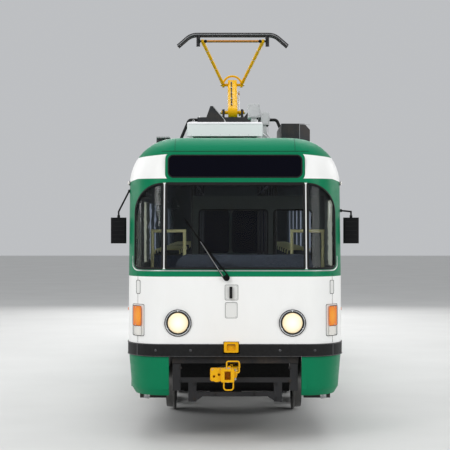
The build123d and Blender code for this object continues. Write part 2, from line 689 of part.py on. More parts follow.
# Pale plates, grab pills and the blank panel on the front
GRIP_X = -43.0
GRIP_REACH = 34.0
GRIP_WIDTH = 30.0
GRIP_HEIGHT = 118.0
GRIP_BAR = 14.0
GRIP_FACE = HALF_LENGTH - (HANDLE_PLATE[2] - BODY_Z) / (WAIST_Z - BODY_Z) * WAIST_SETBACK + PLATE_THICK - 1

with BuildPart() as front_plates:
    add(panel_form(PLATE_THICK))
    add(panel_form(SEAT_GAP), mode=Mode.SUBTRACT)
    with BuildSketch(Plane.XZ.offset(HALF_LENGTH + WALL)):
        for x, width, z, height in (HANDLE_PLATE, BLANK_PANEL):
            with Locations((x, z)):
                RectangleRounded(width, height, 8)
        for x, width, z, height in (LAMP_PLATE, PILL):
            with Locations((x, z), (-x, z)):
                RectangleRounded(width, height, 17)
    extrude(amount=-MASK_LENGTH, mode=Mode.INTERSECT)
    with Locations((GRIP_X, -GRIP_FACE - GRIP_REACH / 2, HANDLE_PLATE[2])):
        Box(GRIP_WIDTH, GRIP_REACH, GRIP_HEIGHT)
    with Locations((GRIP_X, -GRIP_FACE - (GRIP_REACH - GRIP_BAR) / 2, HANDLE_PLATE[2])):
        Box(GRIP_WIDTH, GRIP_REACH - GRIP_BAR - 2, GRIP_HEIGHT - 3 * GRIP_BAR, mode=Mode.SUBTRACT)
front_plates.part.label = "front_plates"
export_step(front_plates.part, "parts/front_plates.step")

# Wiper on the plane of the windscreen
WIPER_X = -87.0
WIPER_Z = 1639.0
WIPER_REACH = 745.0
WIPER_REST = 35.0
WIPER_BLADE = 540.0
WIPER_FOOT = 32.0
GLASS_GAP = 6.0
SCREEN_LEAN = (BROW_SETBACK - WAIST_SETBACK) / (SHOULDER_Z - WAIST_Z)
WIPER_Y = -(HALF_LENGTH - WAIST_SETBACK - (WIPER_Z - WAIST_Z) * SCREEN_LEAN)
WIPER_PLANE = Plane(origin=(WIPER_X, WIPER_Y, WIPER_Z), x_dir=(1, 0, 0), z_dir=(0, -1, SCREEN_LEAN))
WIPER_PLANE = Plane(WIPER_PLANE.location * Rotation(0, 0, WIPER_REST))
SPINDLE_R = 14.0
SPINDLE_SINK = 4.5
WIPER_RISE = 20.0
WIPER_THICK = 10.0

with BuildPart() as wiper:
    with BuildSketch(WIPER_PLANE.offset(-SPINDLE_SINK)):
        Circle(SPINDLE_R)
    extrude(amount=SPINDLE_SINK + WIPER_RISE + WIPER_THICK + 4)
    with BuildSketch(WIPER_PLANE.offset(WIPER_RISE)):
        with BuildLine() as arm:
            reach = WIPER_REACH - WIPER_BLADE / 2
            Polyline((-WIPER_FOOT, 0), (-9, reach), (9, reach), (WIPER_FOOT, 0), close=True)
        make_face(arm.edges())
        with BuildLine() as slot:
            inner = WIPER_FOOT - 15
            Polyline((-inner, 30), (-1, reach - 120), (1, reach - 120), (inner, 30), close=True)
        make_face(slot.edges(), mode=Mode.SUBTRACT)
        Circle(WIPER_FOOT)
    extrude(amount=WIPER_THICK)
    with BuildSketch(WIPER_PLANE.offset(-GLASS_DEPTH + GLASS_GAP)):
        with Locations((0, reach)):
            Rectangle(12, WIPER_BLADE)
    extrude(amount=WIPER_RISE + 4 + GLASS_DEPTH - GLASS_GAP)
wiper.part.label = "wiper"
export_step(wiper.part, "parts/wiper.step")

# Mirrors on tube arms at the front corners
MIRROR_X = HALF_WIDTH + 112
MIRROR_Y = -(HALF_LENGTH - 600)
MIRROR_WIDTH = 162.0
MIRROR_HEIGHT = 270.0
MIRROR_THICK = 50.0
MIRROR_Z = 2119.0
ARM_R = 9.0
ARM_FOOT_R = 16.0
MIRROR_TURN = CORNER_STRETCH * CORNER_SPREAD
ARM_TOPS = {-1: 2529.0, 1: 2326.0}
MIRROR_KNEE_Z = 2316.0


def corner_x(y, z):
    """Half width of the body at y near the front, below the shoulder."""
    setback = WAIST_SETBACK + (z - WAIST_Z) * SCREEN_LEAN
    reach = HALF_LENGTH - setback - MIRROR_TURN
    share = (abs(y) - reach) / MIRROR_TURN
    return HALF_WIDTH - CORNER_SPREAD + CORNER_SPREAD * math.sqrt(1 - share * share)


with BuildPart() as mirrors:
    for side, top_z in ARM_TOPS.items():
        with Locations((side * MIRROR_X, MIRROR_Y, MIRROR_Z)):
            Box(MIRROR_WIDTH, MIRROR_THICK, MIRROR_HEIGHT)
        start = (side * MIRROR_X, MIRROR_Y, MIRROR_Z + MIRROR_HEIGHT / 2 - ARM_R)
        knee = (side * MIRROR_X, MIRROR_Y, MIRROR_KNEE_Z)
        foot_x = corner_x(abs(MIRROR_Y) - ARM_FOOT_R, top_z) + SEAT_GAP
        tip = (side * (foot_x + ARM_R), MIRROR_Y, top_z)
        with BuildLine() as route:
            Polyline(start, knee, tip)
        with BuildSketch(Plane(origin=start, z_dir=(0, 0, 1))):
            Circle(ARM_R)
        sweep(path=route.line, transition=Transition.ROUND)
        with Locations((side * (foot_x + ARM_R), MIRROR_Y, top_z)):
            Cylinder(ARM_FOOT_R, 2 * ARM_R, rotation=(0, 90, 0))
    upright = mirrors.edges().filter_by(Axis.Z).filter_by(lambda edge: edge.length > MIRROR_WIDTH)
    fillet(upright, MIRROR_THICK / 3)
mirrors.part.label = "mirrors"
export_step(mirrors.part, "parts/mirrors.step")

# Wheelsets: hub, dished web and flanged tread turned about the axle
HUB_R = 130.0
WEB_R = 285.0
WEB_THICK = 44.0
HUB_PROUD = 18.0
AXLE_END = WHEEL_BACK_X + WHEEL_WIDTH + HUB_PROUD

with BuildPart() as wheelset:
    with BuildSketch(Plane.XY) as half_section:
        with BuildLine() as wheel_line:
            back = WHEEL_BACK_X
            face = WHEEL_BACK_X + WHEEL_WIDTH
            web = back + (WHEEL_WIDTH - WEB_THICK) / 2
            Polyline(
                (0, 0),
                (0, AXLE_R),
                (back - HUB_PROUD, AXLE_R),
                (back - HUB_PROUD, HUB_R),
                (web, HUB_R),
                (web, WEB_R),
                (back, WEB_R),
                (back, FLANGE_R - 8),
                (back + 8, FLANGE_R),
                (back + FLANGE_WIDTH - 8, FLANGE_R),
                (back + FLANGE_WIDTH + 4, TREAD_R + 3),
                (face - 8, TREAD_R - 2),
                (face, TREAD_R - 10),
                (face, WEB_R),
                (web + WEB_THICK, WEB_R),
                (web + WEB_THICK, HUB_R),
                (AXLE_END, HUB_R - 20),
                (AXLE_END, 0),
                close=True,
            )
        make_face(wheel_line.edges())
        mirror(about=Plane.YZ)
    revolve(axis=Axis.X, revolution_arc=360)

AXLES = {
    "wheelset_1": -BOGIE_Y - WHEELBASE / 2,
    "wheelset_2": -BOGIE_Y + WHEELBASE / 2,
    "wheelset_3": BOGIE_Y - WHEELBASE / 2,
    "wheelset_4": BOGIE_Y + WHEELBASE / 2,
}
for label, axle_y in AXLES.items():
    with BuildPart() as axle:
        add(Pos(0, axle_y, AXLE_Z) * wheelset.part)
    axle.part.label = label
    export_step(axle.part, f"parts/{label}.step")

# Bogies: inside beams over the axle boxes, two cross beams, springs and a bolster
BEAM_X = 545.0
BEAM_WIDTH = 100.0
BEAM_Z = 470.0
BEAM_TOP_Z = 600.0
BEAM_OVERHANG = 190.0
BOX_SIZE = 210.0
CROSS_Y = 400.0
CROSS_WIDTH = 130.0
CROSS_Z = 575.0
CROSS_TOP_Z = 650.0
SPRING_R = 95.0
SPRING_TOP_Z = 700.0
BOGIE_BOLSTER_WIDTH = 260.0
PIVOT_R = 90.0
PIVOT_GAP = 0.3
MOTOR_R = 165.0
MOTOR_LENGTH = 620.0
MOTOR_X = 185.0
MOTOR_Z = 400.0
SHAFT_R = 45.0
GEARCASE = 330.0
BRAKE_X = 756.0
BRAKE_HALF = 400.0
BRAKE_Z = 38.0
BRAKE_TOP_Z = 118.0
BRAKE_WIDTH = 64.0
HANGER = 40.0
HANGER_Y = 230.0
ROUND_BEAM = 14.0

with BuildPart() as bogie_frame:
    for side in (-1, 1):
        with Locations((side * BEAM_X, 0, (BEAM_Z + BEAM_TOP_Z) / 2)):
            Box(BEAM_WIDTH, WHEELBASE + 2 * BEAM_OVERHANG, BEAM_TOP_Z - BEAM_Z)
        with Locations((side * BEAM_X, 0, (BEAM_TOP_Z + SPRING_TOP_Z) / 2 - ROUND_BEAM)):
            Cylinder(SPRING_R, SPRING_TOP_Z - BEAM_TOP_Z + 2 * ROUND_BEAM)
        for end in (-1, 1):
            with Locations((side * BEAM_X, end * WHEELBASE / 2, (AXLE_Z - BOX_SIZE / 2 + BEAM_Z) / 2)):
                Box(BEAM_WIDTH + ROUND_BEAM, BOX_SIZE, BEAM_Z - AXLE_Z + BOX_SIZE / 2)
            with Locations((0, end * CROSS_Y, (CROSS_Z + CROSS_TOP_Z) / 2)):
                Box(2 * BEAM_X + BEAM_WIDTH, CROSS_WIDTH, CROSS_TOP_Z - CROSS_Z)
            with Locations((side * BEAM_X, end * WHEELBASE / 2, AXLE_Z)):
                Cylinder(AXLE_R + BEARING_FIT, 2 * BEAM_WIDTH, rotation=(0, 90, 0), mode=Mode.SUBTRACT)
    with BuildSketch(Plane.XZ.offset(BOGIE_BOLSTER_WIDTH / 2)):
        with BuildLine() as bolster_line:
            Polyline(
                (0, SPRING_TOP_Z - 60),
                (BEAM_X - SPRING_R, SPRING_TOP_Z - ROUND_BEAM),
                (BEAM_X + SPRING_R, SPRING_TOP_Z - ROUND_BEAM),
                (BEAM_X + SPRING_R, SPRING_TOP_Z + 20),
                (2 * PIVOT_R, SPRING_TOP_Z + 40),
                (0, SPRING_TOP_Z + 40),
                close=True,
            )
        make_face(bolster_line.edges())
        mirror(about=Plane.YZ)
    extrude(amount=-BOGIE_BOLSTER_WIDTH)
    with Locations((0, 0, (SPRING_TOP_Z + BOLSTER_Z - PIVOT_GAP) / 2)):
        Cylinder(PIVOT_R, BOLSTER_Z - PIVOT_GAP - SPRING_TOP_Z)

with BuildPart() as motor_pair:
    for side in (-1, 1):
        axle_y = side * WHEELBASE / 2
        case_face = abs(axle_y) - GEARCASE / 2
        motor_y = side * (case_face - MOTOR_LENGTH / 2 - 2 * SHAFT_R)
        with BuildSketch(Plane.XZ.offset(-motor_y + MOTOR_LENGTH / 2)):
            with Locations((side * MOTOR_X, MOTOR_Z)):
                Circle(MOTOR_R)
        extrude(amount=-MOTOR_LENGTH)
        with BuildSketch(Plane.XZ.offset(-side * case_face)):
            with Locations((side * MOTOR_X, MOTOR_Z)):
                Circle(SHAFT_R)
        extrude(amount=side * 3 * SHAFT_R)
        with Locations((side * MOTOR_X / 2, axle_y, AXLE_Z)):
            Box(2 * MOTOR_X, GEARCASE, GEARCASE)
            Cylinder(AXLE_R + BEARING_FIT, 4 * MOTOR_X, rotation=(0, 90, 0), mode=Mode.SUBTRACT)
        with Locations((side * MOTOR_X, side * CROSS_Y, (MOTOR_Z + CROSS_Z - SEAT_GAP) / 2)):
            Box(BEAM_WIDTH, CROSS_WIDTH, CROSS_Z - SEAT_GAP - MOTOR_Z)

with BuildPart() as brake_pair:
    for side in (-1, 1):
        with BuildSketch(Plane.YZ.offset(side * BRAKE_X - BRAKE_WIDTH / 2)):
            with BuildLine() as shoe:
                Polyline(
                    (-BRAKE_HALF, BRAKE_Z + 30),
                    (-BRAKE_HALF + 60, BRAKE_Z),
                    (BRAKE_HALF - 60, BRAKE_Z),
                    (BRAKE_HALF, BRAKE_Z + 30),
                    (BRAKE_HALF, BRAKE_TOP_Z),
                    (-BRAKE_HALF, BRAKE_TOP_Z),
                    close=True,
                )
            make_face(shoe.edges())
        extrude(amount=BRAKE_WIDTH)
        beam_face = BEAM_X + BEAM_WIDTH / 2 + SEAT_GAP
        arm = BRAKE_X + HANGER / 2 - beam_face
        for y in (-HANGER_Y, HANGER_Y):
            with Locations((side * BRAKE_X, y, (BRAKE_TOP_Z + BEAM_TOP_Z) / 2 - HANGER)):
                Box(HANGER, HANGER, BEAM_TOP_Z - BRAKE_TOP_Z - 2 * HANGER)
            with Locations((side * (beam_face + arm / 2), y, BEAM_TOP_Z - 2.5 * HANGER)):
                Box(arm, HANGER, HANGER)

BOGIES = {"front": -BOGIE_Y, "rear": BOGIE_Y}
for place, middle_y in BOGIES.items():
    for kind, source in (("bogie_frame", bogie_frame), ("motors", motor_pair), ("track_brakes", brake_pair)):
        with BuildPart() as truck:
            add(Pos(0, middle_y, 0) * source.part)
        truck.part.label = f"{kind}_{place}"
        export_step(truck.part, f"parts/{kind}_{place}.step")

# Door leaves: a leads from its post, b folds back against it, both pairs alike
LEAF_REACH = (DOOR_HALF - LEAF_EDGE_GAP * 2 - LEAF_THICK / 2) / 2
LEAF_TOP_Z = DOOR_TOP_Z - LEAF_TOP_GAP
PANE_Z = 1250.0
KNUCKLE_LENGTH = 60.0
KNUCKLE_Z = (700.0, 1480.0, 2260.0)
FOLD_GAP = 3.0
HINGE_X = LEAF_X - LEAF_THICK / 2 - HINGE_INSET
POST_Y = DOOR_HALF - LEAF_EDGE_GAP - LEAF_THICK / 2


def leaf_form(lead):
    """Leaf of the half doorway at negative Y, with Y zero at the doorway's middle."""
    fold_y = -POST_Y + LEAF_REACH
    low_y = -POST_Y if lead else fold_y + FOLD_GAP
    high_y = fold_y - FOLD_GAP if lead else -LEAF_EDGE_GAP
    with BuildPart() as leaf:
        with BuildSketch(Plane.XY.offset(LEAF_Z)):
            with Locations((-LEAF_X, (low_y + high_y) / 2)):
                Rectangle(LEAF_THICK, high_y - low_y)
            if lead:
                with Locations((-LEAF_X, low_y)):
                    Circle(LEAF_THICK / 2)
        extrude(amount=LEAF_TOP_Z - LEAF_Z)
        middle_y = (low_y + high_y) / 2
        pane_width = high_y - low_y - 2 * LEAF_FRAME
        rows = [(LEAF_Z + 3 * LEAF_FRAME, PANE_Z - LEAF_FRAME), (PANE_Z, LEAF_TOP_Z - 2 * LEAF_FRAME)]
        for low, top in rows:
            with BuildSketch(Plane.YZ.offset(-LEAF_X - LEAF_THICK / 2)):
                with Locations((middle_y, (low + top) / 2)):
                    RectangleRounded(pane_width, top - low, 30)
            extrude(amount=LEAF_THICK, mode=Mode.SUBTRACT)
        for z in KNUCKLE_Z:
            base = z if lead else z + KNUCKLE_LENGTH + SEAT_GAP
            with BuildSketch(Plane.XY.offset(base)):
                with Locations((-HINGE_X, fold_y)):
                    Circle(KNUCKLE_R)
                inner = HINGE_X + HINGE_INSET + 4
                reach = -2 * KNUCKLE_R if lead else 2 * KNUCKLE_R
                with Locations((-(HINGE_X + inner) / 2, fold_y + reach)):
                    Rectangle(inner - HINGE_X + KNUCKLE_R, 2 * KNUCKLE_R)
                with Locations((-HINGE_X, fold_y + reach / 2)):
                    Rectangle(KNUCKLE_R, 2 * KNUCKLE_R)
            extrude(amount=KNUCKLE_LENGTH)
        if lead:
            with BuildSketch(Plane.XY.offset(LEAF_TOP_Z)):
                with Locations((-LEAF_X, low_y)):
                    Circle(LEAF_THICK / 4)
            extrude(amount=LEAF_TOP_GAP - SEAT_GAP)
        for low, top in rows:
            with BuildSketch(Plane.YZ.offset(-LEAF_X - PANE / 2)):
                with Locations((middle_y, (low + top) / 2)):
                    RectangleRounded(pane_width - 2 * SEAT_GAP, top - low - 2 * SEAT_GAP, 30 - SEAT_GAP)
            extrude(amount=PANE)
    return leaf.part


leaf_lead = leaf_form(True)
leaf_follow = leaf_form(False)
for place, door_y in DOOR_Y.items():
    leaves = {
        "a1": leaf_lead,
        "b1": leaf_follow,
        "a2": mirror(leaf_lead, about=Plane.XZ),
        "b2": mirror(leaf_follow, about=Plane.XZ),
    }
    for name, source in leaves.items():
        with BuildPart() as leaf:
            add(Pos(0, door_y, 0) * source)
        leaf.part.label = f"door_{place}_{name}"
        export_step(leaf.part, f"parts/door_{place}_{name}.step")

# Couplers: tapered drawbar to a head with box eye, plunger cylinder and two hand loops
COUPLER_REACH = HALF_LENGTH + 552
EYE_R = 62.0
FLANGE_Y = COUPLER_REACH - 157
FLANGE_THICK = 30.0
EYE_X = -77.0
EYE_SIZE = 130.0
EYE_HOLE_WIDTH = 60.0
EYE_HOLE_HEIGHT = 84.0
PLUNGER_X = -183.0
PLUNGER_R = 63.0
PLUNGER_LENGTH = 100.0
PIN_BORE_R = 18.0
BAR_HALF = 45.0
PIN_Y = COUPLER_REACH - 62
LOOP_R = 7.0
TOP_LOOP = [(-86, 60), (-86, 138), (36, 138), (36, 30), (-20, 20)]
LOW_LOOP = [(-114, -60), (-114, -141), (-22, -141), (-22, -60)]

with BuildPart() as coupler:
    with BuildSketch(Plane.XY.offset(COUPLER_Z - BAR_HEIGHT / 2)):
        with BuildLine() as bar:
            Polyline(
                (-BAR_HALF, -COUPLER_PIVOT_Y),
                (BAR_HALF, -COUPLER_PIVOT_Y),
                (EYE_X + EYE_SIZE / 2 + 22, -FLANGE_Y),
                (EYE_X - EYE_SIZE / 2 + 2, -FLANGE_Y),
                close=True,
            )
        make_face(bar.edges())
        with Locations((0, -COUPLER_PIVOT_Y)):
            Circle(EYE_R)
            Circle(PIVOT_PIN_R + BEARING_FIT, mode=Mode.SUBTRACT)
    extrude(amount=BAR_HEIGHT)
    with BuildSketch(Plane.XZ.offset(FLANGE_Y)):
        with Locations(((EYE_X + PLUNGER_X) / 2, COUPLER_Z)):
            RectangleRounded(abs(EYE_X - PLUNGER_X) + EYE_SIZE, EYE_SIZE, 20)
    extrude(amount=FLANGE_THICK)
    with BuildSketch(Plane.XZ.offset(FLANGE_Y)):
        with Locations((EYE_X, COUPLER_Z)):
            RectangleRounded(EYE_SIZE, EYE_SIZE, 14)
    extrude(amount=COUPLER_REACH - FLANGE_Y)
    with BuildSketch(Plane.XZ.offset(FLANGE_Y)):
        with Locations((PLUNGER_X, COUPLER_Z)):
            Circle(PLUNGER_R)
    extrude(amount=FLANGE_THICK + PLUNGER_LENGTH)
    with BuildSketch(Plane.XZ.offset(FLANGE_Y + FLANGE_THICK + PLUNGER_LENGTH)):
        for dx in (-27, 22):
            with Locations((PLUNGER_X + dx, COUPLER_Z + dx / 3)):
                Circle(13)
    extrude(amount=-PLUNGER_LENGTH / 2, mode=Mode.SUBTRACT)
    with BuildSketch(Plane.XZ.offset(FLANGE_Y + FLANGE_THICK)):
        with Locations((EYE_X, COUPLER_Z)):
            Rectangle(EYE_HOLE_WIDTH, EYE_HOLE_HEIGHT)
    extrude(amount=COUPLER_REACH, mode=Mode.SUBTRACT)
    with Locations((EYE_X, -PIN_Y, COUPLER_Z)):
        Cylinder(PIN_BORE_R, 2 * EYE_SIZE, mode=Mode.SUBTRACT)
    for loop in (TOP_LOOP, LOW_LOOP):
        places = [(x, -COUPLER_REACH + 3 * LOOP_R, COUPLER_Z + z) for x, z in loop]
        with BuildLine() as route:
            FilletPolyline(*places, radius=4 * LOOP_R if len(loop) == 4 else 2.5 * LOOP_R)
        with BuildSketch(Plane(origin=places[0], z_dir=route.line % 0)):
            Circle(LOOP_R)
        sweep(path=route.line)

for place, turn in (("front", 0), ("rear", 180)):
    with BuildPart() as drawbar:
        add(Rot(0, 0, turn) * coupler.part)
    drawbar.part.label = f"coupler_{place}"
    export_step(drawbar.part, f"parts/coupler_{place}.step")

# Roof gear
UNIT_X = -104.0
UNIT_WIDTH = 845.0
UNIT_Y = -(HALF_LENGTH - 2250)
UNIT_LENGTH = 900.0
UNIT_Z = 3169.0
UNIT_TOP_Z = 3329.0
UNIT_RAIL = 60.0
UNIT_RAIL_X = (-490, 282)
ROOF_SEAT_Z = ROOF_Z + SEAT_GAP

with BuildPart() as roof_unit:
    with Locations((UNIT_X, UNIT_Y, (UNIT_Z + UNIT_TOP_Z) / 2)):
        Box(UNIT_WIDTH, UNIT_LENGTH, UNIT_TOP_Z - UNIT_Z)
    fillet(roof_unit.edges().group_by(Axis.Z)[-1], 22)
    for x in UNIT_RAIL_X:
        with Locations((x, UNIT_Y, (ROOF_SEAT_Z + UNIT_Z) / 2)):
            Box(UNIT_RAIL, UNIT_LENGTH * 0.9, UNIT_Z - ROOF_SEAT_Z)
roof_unit.part.label = "roof_unit"
export_step(roof_unit.part, "parts/roof_unit.step")

RESISTOR_X = 528.0
RESISTOR_BEND_X = 729.0
RESISTOR_FACET = 125.0
RESISTOR_Y = UNIT_Y - UNIT_LENGTH / 2
RESISTOR_LENGTH = 1600.0
RESISTOR_Z = 3104.0
RESISTOR_TOP_Z = 3311.0
RESISTOR_FIN = 26.0
RESISTOR_FINS = 20

with BuildPart() as resistor_box:
    with BuildSketch(Plane.XY.offset(RESISTOR_Z)):
        with BuildLine() as case:
            Polyline(
                (RESISTOR_X, RESISTOR_Y),
                (RESISTOR_BEND_X, RESISTOR_Y),
                (RESISTOR_BEND_X + RESISTOR_FACET, RESISTOR_Y + RESISTOR_FACET),
                (RESISTOR_BEND_X + RESISTOR_FACET, RESISTOR_Y + RESISTOR_LENGTH),
                (RESISTOR_X, RESISTOR_Y + RESISTOR_LENGTH),
                close=True,
            )
        make_face(case.edges())
    extrude(amount=RESISTOR_TOP_Z - RESISTOR_Z)
    outer_top = resistor_box.edges().group_by(Axis.Z)[-1].sort_by(Axis.X)[-1]
    chamfer(outer_top, RESISTOR_FACET / 2)
    pitch = (RESISTOR_LENGTH - 2 * RESISTOR_FACET) / RESISTOR_FINS
    for step in range(RESISTOR_FINS):
        y = RESISTOR_Y + 1.5 * RESISTOR_FACET + step * pitch
        with Locations((RESISTOR_BEND_X + RESISTOR_FACET, y, RESISTOR_Z + RESISTOR_FACET / 2 + 8)):
            Box(RESISTOR_FIN, pitch / 2, RESISTOR_FACET - 16, mode=Mode.SUBTRACT)
    for end in (0.1, 0.9):
        with Locations((RESISTOR_X + 50, RESISTOR_Y + end * RESISTOR_LENGTH, (ROOF_SEAT_Z + RESISTOR_Z) / 2)):
            Box(80, 60, RESISTOR_Z - ROOF_SEAT_Z)
resistor_box.part.label = "resistor_box"
export_step(resistor_box.part, "parts/resistor_box.step")

# Contactor boxes on posts behind the roof unit: low x, high x, low z, top z, length
ROOF_BOXES = [(172, 314, 3453, 3615, 350), (326, 426, 3366, 3516, 300)]
ROOF_BOX_Y = -(HALF_LENGTH - 2900)
BOX_POST = 70.0

with BuildPart() as roof_boxes:
    for low_x, high_x, low_z, top_z, length in ROOF_BOXES:
        with Locations(((low_x + high_x) / 2, ROOF_BOX_Y + length / 2, (low_z + top_z) / 2)):
            Box(high_x - low_x, length, top_z - low_z)
    fillet(roof_boxes.edges().filter_by(Axis.Y), 12)
    for low_x, high_x, low_z, top_z, length in ROOF_BOXES:
        with Locations(((low_x + high_x) / 2, ROOF_BOX_Y + length / 2, (ROOF_SEAT_Z + low_z) / 2)):
            Box(BOX_POST, length - BOX_POST, low_z - ROOF_SEAT_Z)
roof_boxes.part.label = "roof_boxes"
export_step(roof_boxes.part, "parts/roof_boxes.step")

# Pantograph: single arm, knee to the rear, head over the base pivot
PANTO_Y = -2000.0
PANTO_Z = 3660.0
ARM_LENGTH = 1300.0
ARM_ANGLE = 21.2
LOWER_R = 64.0
SHAFT_PIVOT_R = 24.0
KNEE_HALF = 125.0
UPPER_HALF = 400.0
UPPER_R = 22.0
ROD_PIVOT_R = 14.0
BASE_X = 430.0
BASE_FRONT_Y = -2350.0
BASE_REAR_Y = -450.0
BASE_BEAM = 60.0
BASE_Z = 3515.0
GUSSET = [(-362, BASE_Z + 10), (-103, BASE_Z + 10), (-258, 3720), (-294, 3720)]
LEG_R = 28.0
INSULATOR_R = 55.0
INSULATOR_COUNT = 4
BEARING_X = 122.0
BEARING_THICK = 30.0
HEAD_HALF = 473.0
HORN_R = 200.0
HORN_TURN = 41.0
HORN_TIP = 155.0
HEAD_RISE = 96.0
STRIP_Y = 75.0
STRIP_THICK = 30.0
STRIP_DEPTH = 44.0
SPRING_CUP_R = 24.0
SPRING_CUP_Z = 150.0
ROD_X = 90.0
ROD_R = 9.0
ROD_BACK = 140.0
ROD_DROP = 20.0
ROD_LENGTH = 1080.0
BOW_RISE = 122.0
BOW_R = 14.0

arm_rise = ARM_LENGTH * math.sin(math.radians(ARM_ANGLE))
arm_run = ARM_LENGTH * math.cos(math.radians(ARM_ANGLE))
KNEE_Y = PANTO_Y + arm_run
KNEE_Z = PANTO_Z + arm_rise
HEAD_Z = KNEE_Z + arm_rise


def tube(start, end, radius):
    """Round tube between two points, added to the open part."""
    run = Vector(*end) - Vector(*start)
    with BuildSketch(Plane(origin=start, z_dir=run.normalized())) as ring:
        Circle(radius)
    extrude(to_extrude=ring.sketch, amount=run.length)


with BuildPart() as panto_base:
    for side in (-1, 1):
        with Locations((side * BASE_X, (BASE_FRONT_Y + BASE_REAR_Y) / 2, BASE_Z + BASE_BEAM / 2)):
            Box(BASE_BEAM, BASE_REAR_Y - BASE_FRONT_Y, BASE_BEAM)
        for leg_y in (BASE_FRONT_Y + 2 * BASE_BEAM, BASE_REAR_Y - 2 * BASE_BEAM):
            with Locations((side * BASE_X, leg_y, (ROOF_SEAT_Z + BASE_Z + BASE_BEAM / 2) / 2)):
                Cylinder(LEG_R, BASE_Z + BASE_BEAM / 2 - ROOF_SEAT_Z)
            discs = [ROOF_SEAT_Z + 60 + 55 * step for step in range(INSULATOR_COUNT)]
            with Locations([(side * BASE_X, leg_y, z) for z in discs]):
                Cylinder(INSULATOR_R, 22)
            with Locations((side * BASE_X, leg_y, ROOF_SEAT_Z + 10)):
                Box(2.4 * INSULATOR_R, 2.4 * INSULATOR_R, 20)
    for y in (BASE_FRONT_Y + BASE_BEAM / 2, PANTO_Y, BASE_REAR_Y - BASE_BEAM / 2):
        with Locations((0, y, BASE_Z + BASE_BEAM / 2)):
            Box(2 * BASE_X, BASE_BEAM, BASE_BEAM)
    for side in (-1, 1):
        front = PANTO_Y - 60
        rear = PANTO_Y + ROD_BACK + 40
        with Locations((side * BEARING_X, (front + rear) / 2, (BASE_Z + PANTO_Z + 40) / 2)):
            Box(BEARING_THICK, rear - front, PANTO_Z + 40 - BASE_Z)
    with BuildSketch(Plane.XZ.offset(-BASE_FRONT_Y)):
        with BuildLine() as gusset:
            Polyline(*GUSSET, close=True)
        make_face(gusset.edges())
        mirror(about=Plane.YZ)
    extrude(amount=-BASE_BEAM / 2)
    with Locations((0, PANTO_Y, PANTO_Z)):
        Cylinder(SHAFT_PIVOT_R + BEARING_FIT, 4 * BEARING_X, rotation=(0, 90, 0), mode=Mode.SUBTRACT)
    with Locations(((ROD_X - ROD_R + BEARING_X) / 2, PANTO_Y + ROD_BACK, PANTO_Z - ROD_DROP)):
        Cylinder(ROD_R - 1, BEARING_X - ROD_X + ROD_R, rotation=(0, 90, 0))
panto_base.part.label = "panto_base"
export_step(panto_base.part, "parts/panto_base.step")

# Two bent conduits from the roof to the pantograph's base, x and z of the left one
CONDUIT_R = 20.0
CONDUIT_Y = BASE_FRONT_Y + 3 * BASE_BEAM / 2
CONDUIT = [
    (-600, ROOF_SEAT_Z),
    (-600, ROOF_SEAT_Z + 60),
    (-676, 3300),
    (-570, BASE_Z + BASE_BEAM / 2),
    (-BASE_X - BASE_BEAM / 2 - SEAT_GAP, BASE_Z + BASE_BEAM / 2),
]

with BuildPart() as roof_conduits:
    with BuildLine(Plane.XZ.offset(-CONDUIT_Y)) as conduit_route:
        FilletPolyline(*CONDUIT, radius=45)
    with BuildSketch(Plane(origin=(CONDUIT[0][0], CONDUIT_Y, ROOF_SEAT_Z), z_dir=(0, 0, 1))):
        Circle(CONDUIT_R)
    sweep(path=conduit_route.line)
    with Locations((CONDUIT[0][0], CONDUIT_Y, ROOF_SEAT_Z + 7)):
        Cylinder(2 * CONDUIT_R, 14)
    mirror(about=Plane.YZ)
roof_conduits.part.label = "roof_conduits"
export_step(roof_conduits.part, "parts/roof_conduits.step")

with BuildPart() as panto_lower_arm:
    tube((0, PANTO_Y, PANTO_Z), (0, KNEE_Y, KNEE_Z), LOWER_R)
    for y, z, half, radius in (
        (PANTO_Y, PANTO_Z, BEARING_X + BEARING_THICK, SHAFT_PIVOT_R),
        (PANTO_Y, PANTO_Z, 0.5 * BEARING_X, LOWER_R + 5),
        (KNEE_Y, KNEE_Z, KNEE_HALF + UPPER_R + 8, SHAFT_PIVOT_R - 4),
        (KNEE_Y, KNEE_Z, 0.5 * KNEE_HALF, LOWER_R + 5),
    ):
        with Locations((0, y, z)):
            Cylinder(radius, 2 * half, rotation=(0, 90, 0))
panto_lower_arm.part.label = "panto_lower_arm"
export_step(panto_lower_arm.part, "parts/panto_lower_arm.step")

with BuildPart() as panto_upper_arm:
    for side in (-1, 1):
        tube((side * KNEE_HALF, KNEE_Y, KNEE_Z), (side * UPPER_HALF, PANTO_Y, HEAD_Z), UPPER_R)
        with Locations((side * KNEE_HALF, KNEE_Y, KNEE_Z)):
            Cylinder(UPPER_R + 14, UPPER_R + 10, rotation=(0, 90, 0))
            Cylinder(SHAFT_PIVOT_R - 4 + BEARING_FIT, 6 * UPPER_R, rotation=(0, 90, 0), mode=Mode.SUBTRACT)
        with Locations((side * UPPER_HALF, PANTO_Y, HEAD_Z)):
            Cylinder(ROD_PIVOT_R + 10, UPPER_R + 12, rotation=(0, 90, 0))
            Cylinder(ROD_PIVOT_R + BEARING_FIT, 6 * UPPER_R, rotation=(0, 90, 0), mode=Mode.SUBTRACT)
    with BuildLine() as bow:
        foot = UPPER_R + 6
        ThreePointArc(
            (-KNEE_HALF, KNEE_Y, KNEE_Z + foot),
            (0, KNEE_Y, KNEE_Z + BOW_RISE),
            (KNEE_HALF, KNEE_Y, KNEE_Z + foot),
        )
    with BuildSketch(Plane(origin=bow.line @ 0, z_dir=bow.line % 0)):
        Circle(BOW_R)
    sweep(path=bow.line)
panto_upper_arm.part.label = "panto_upper_arm"
export_step(panto_upper_arm.part, "parts/panto_upper_arm.step")

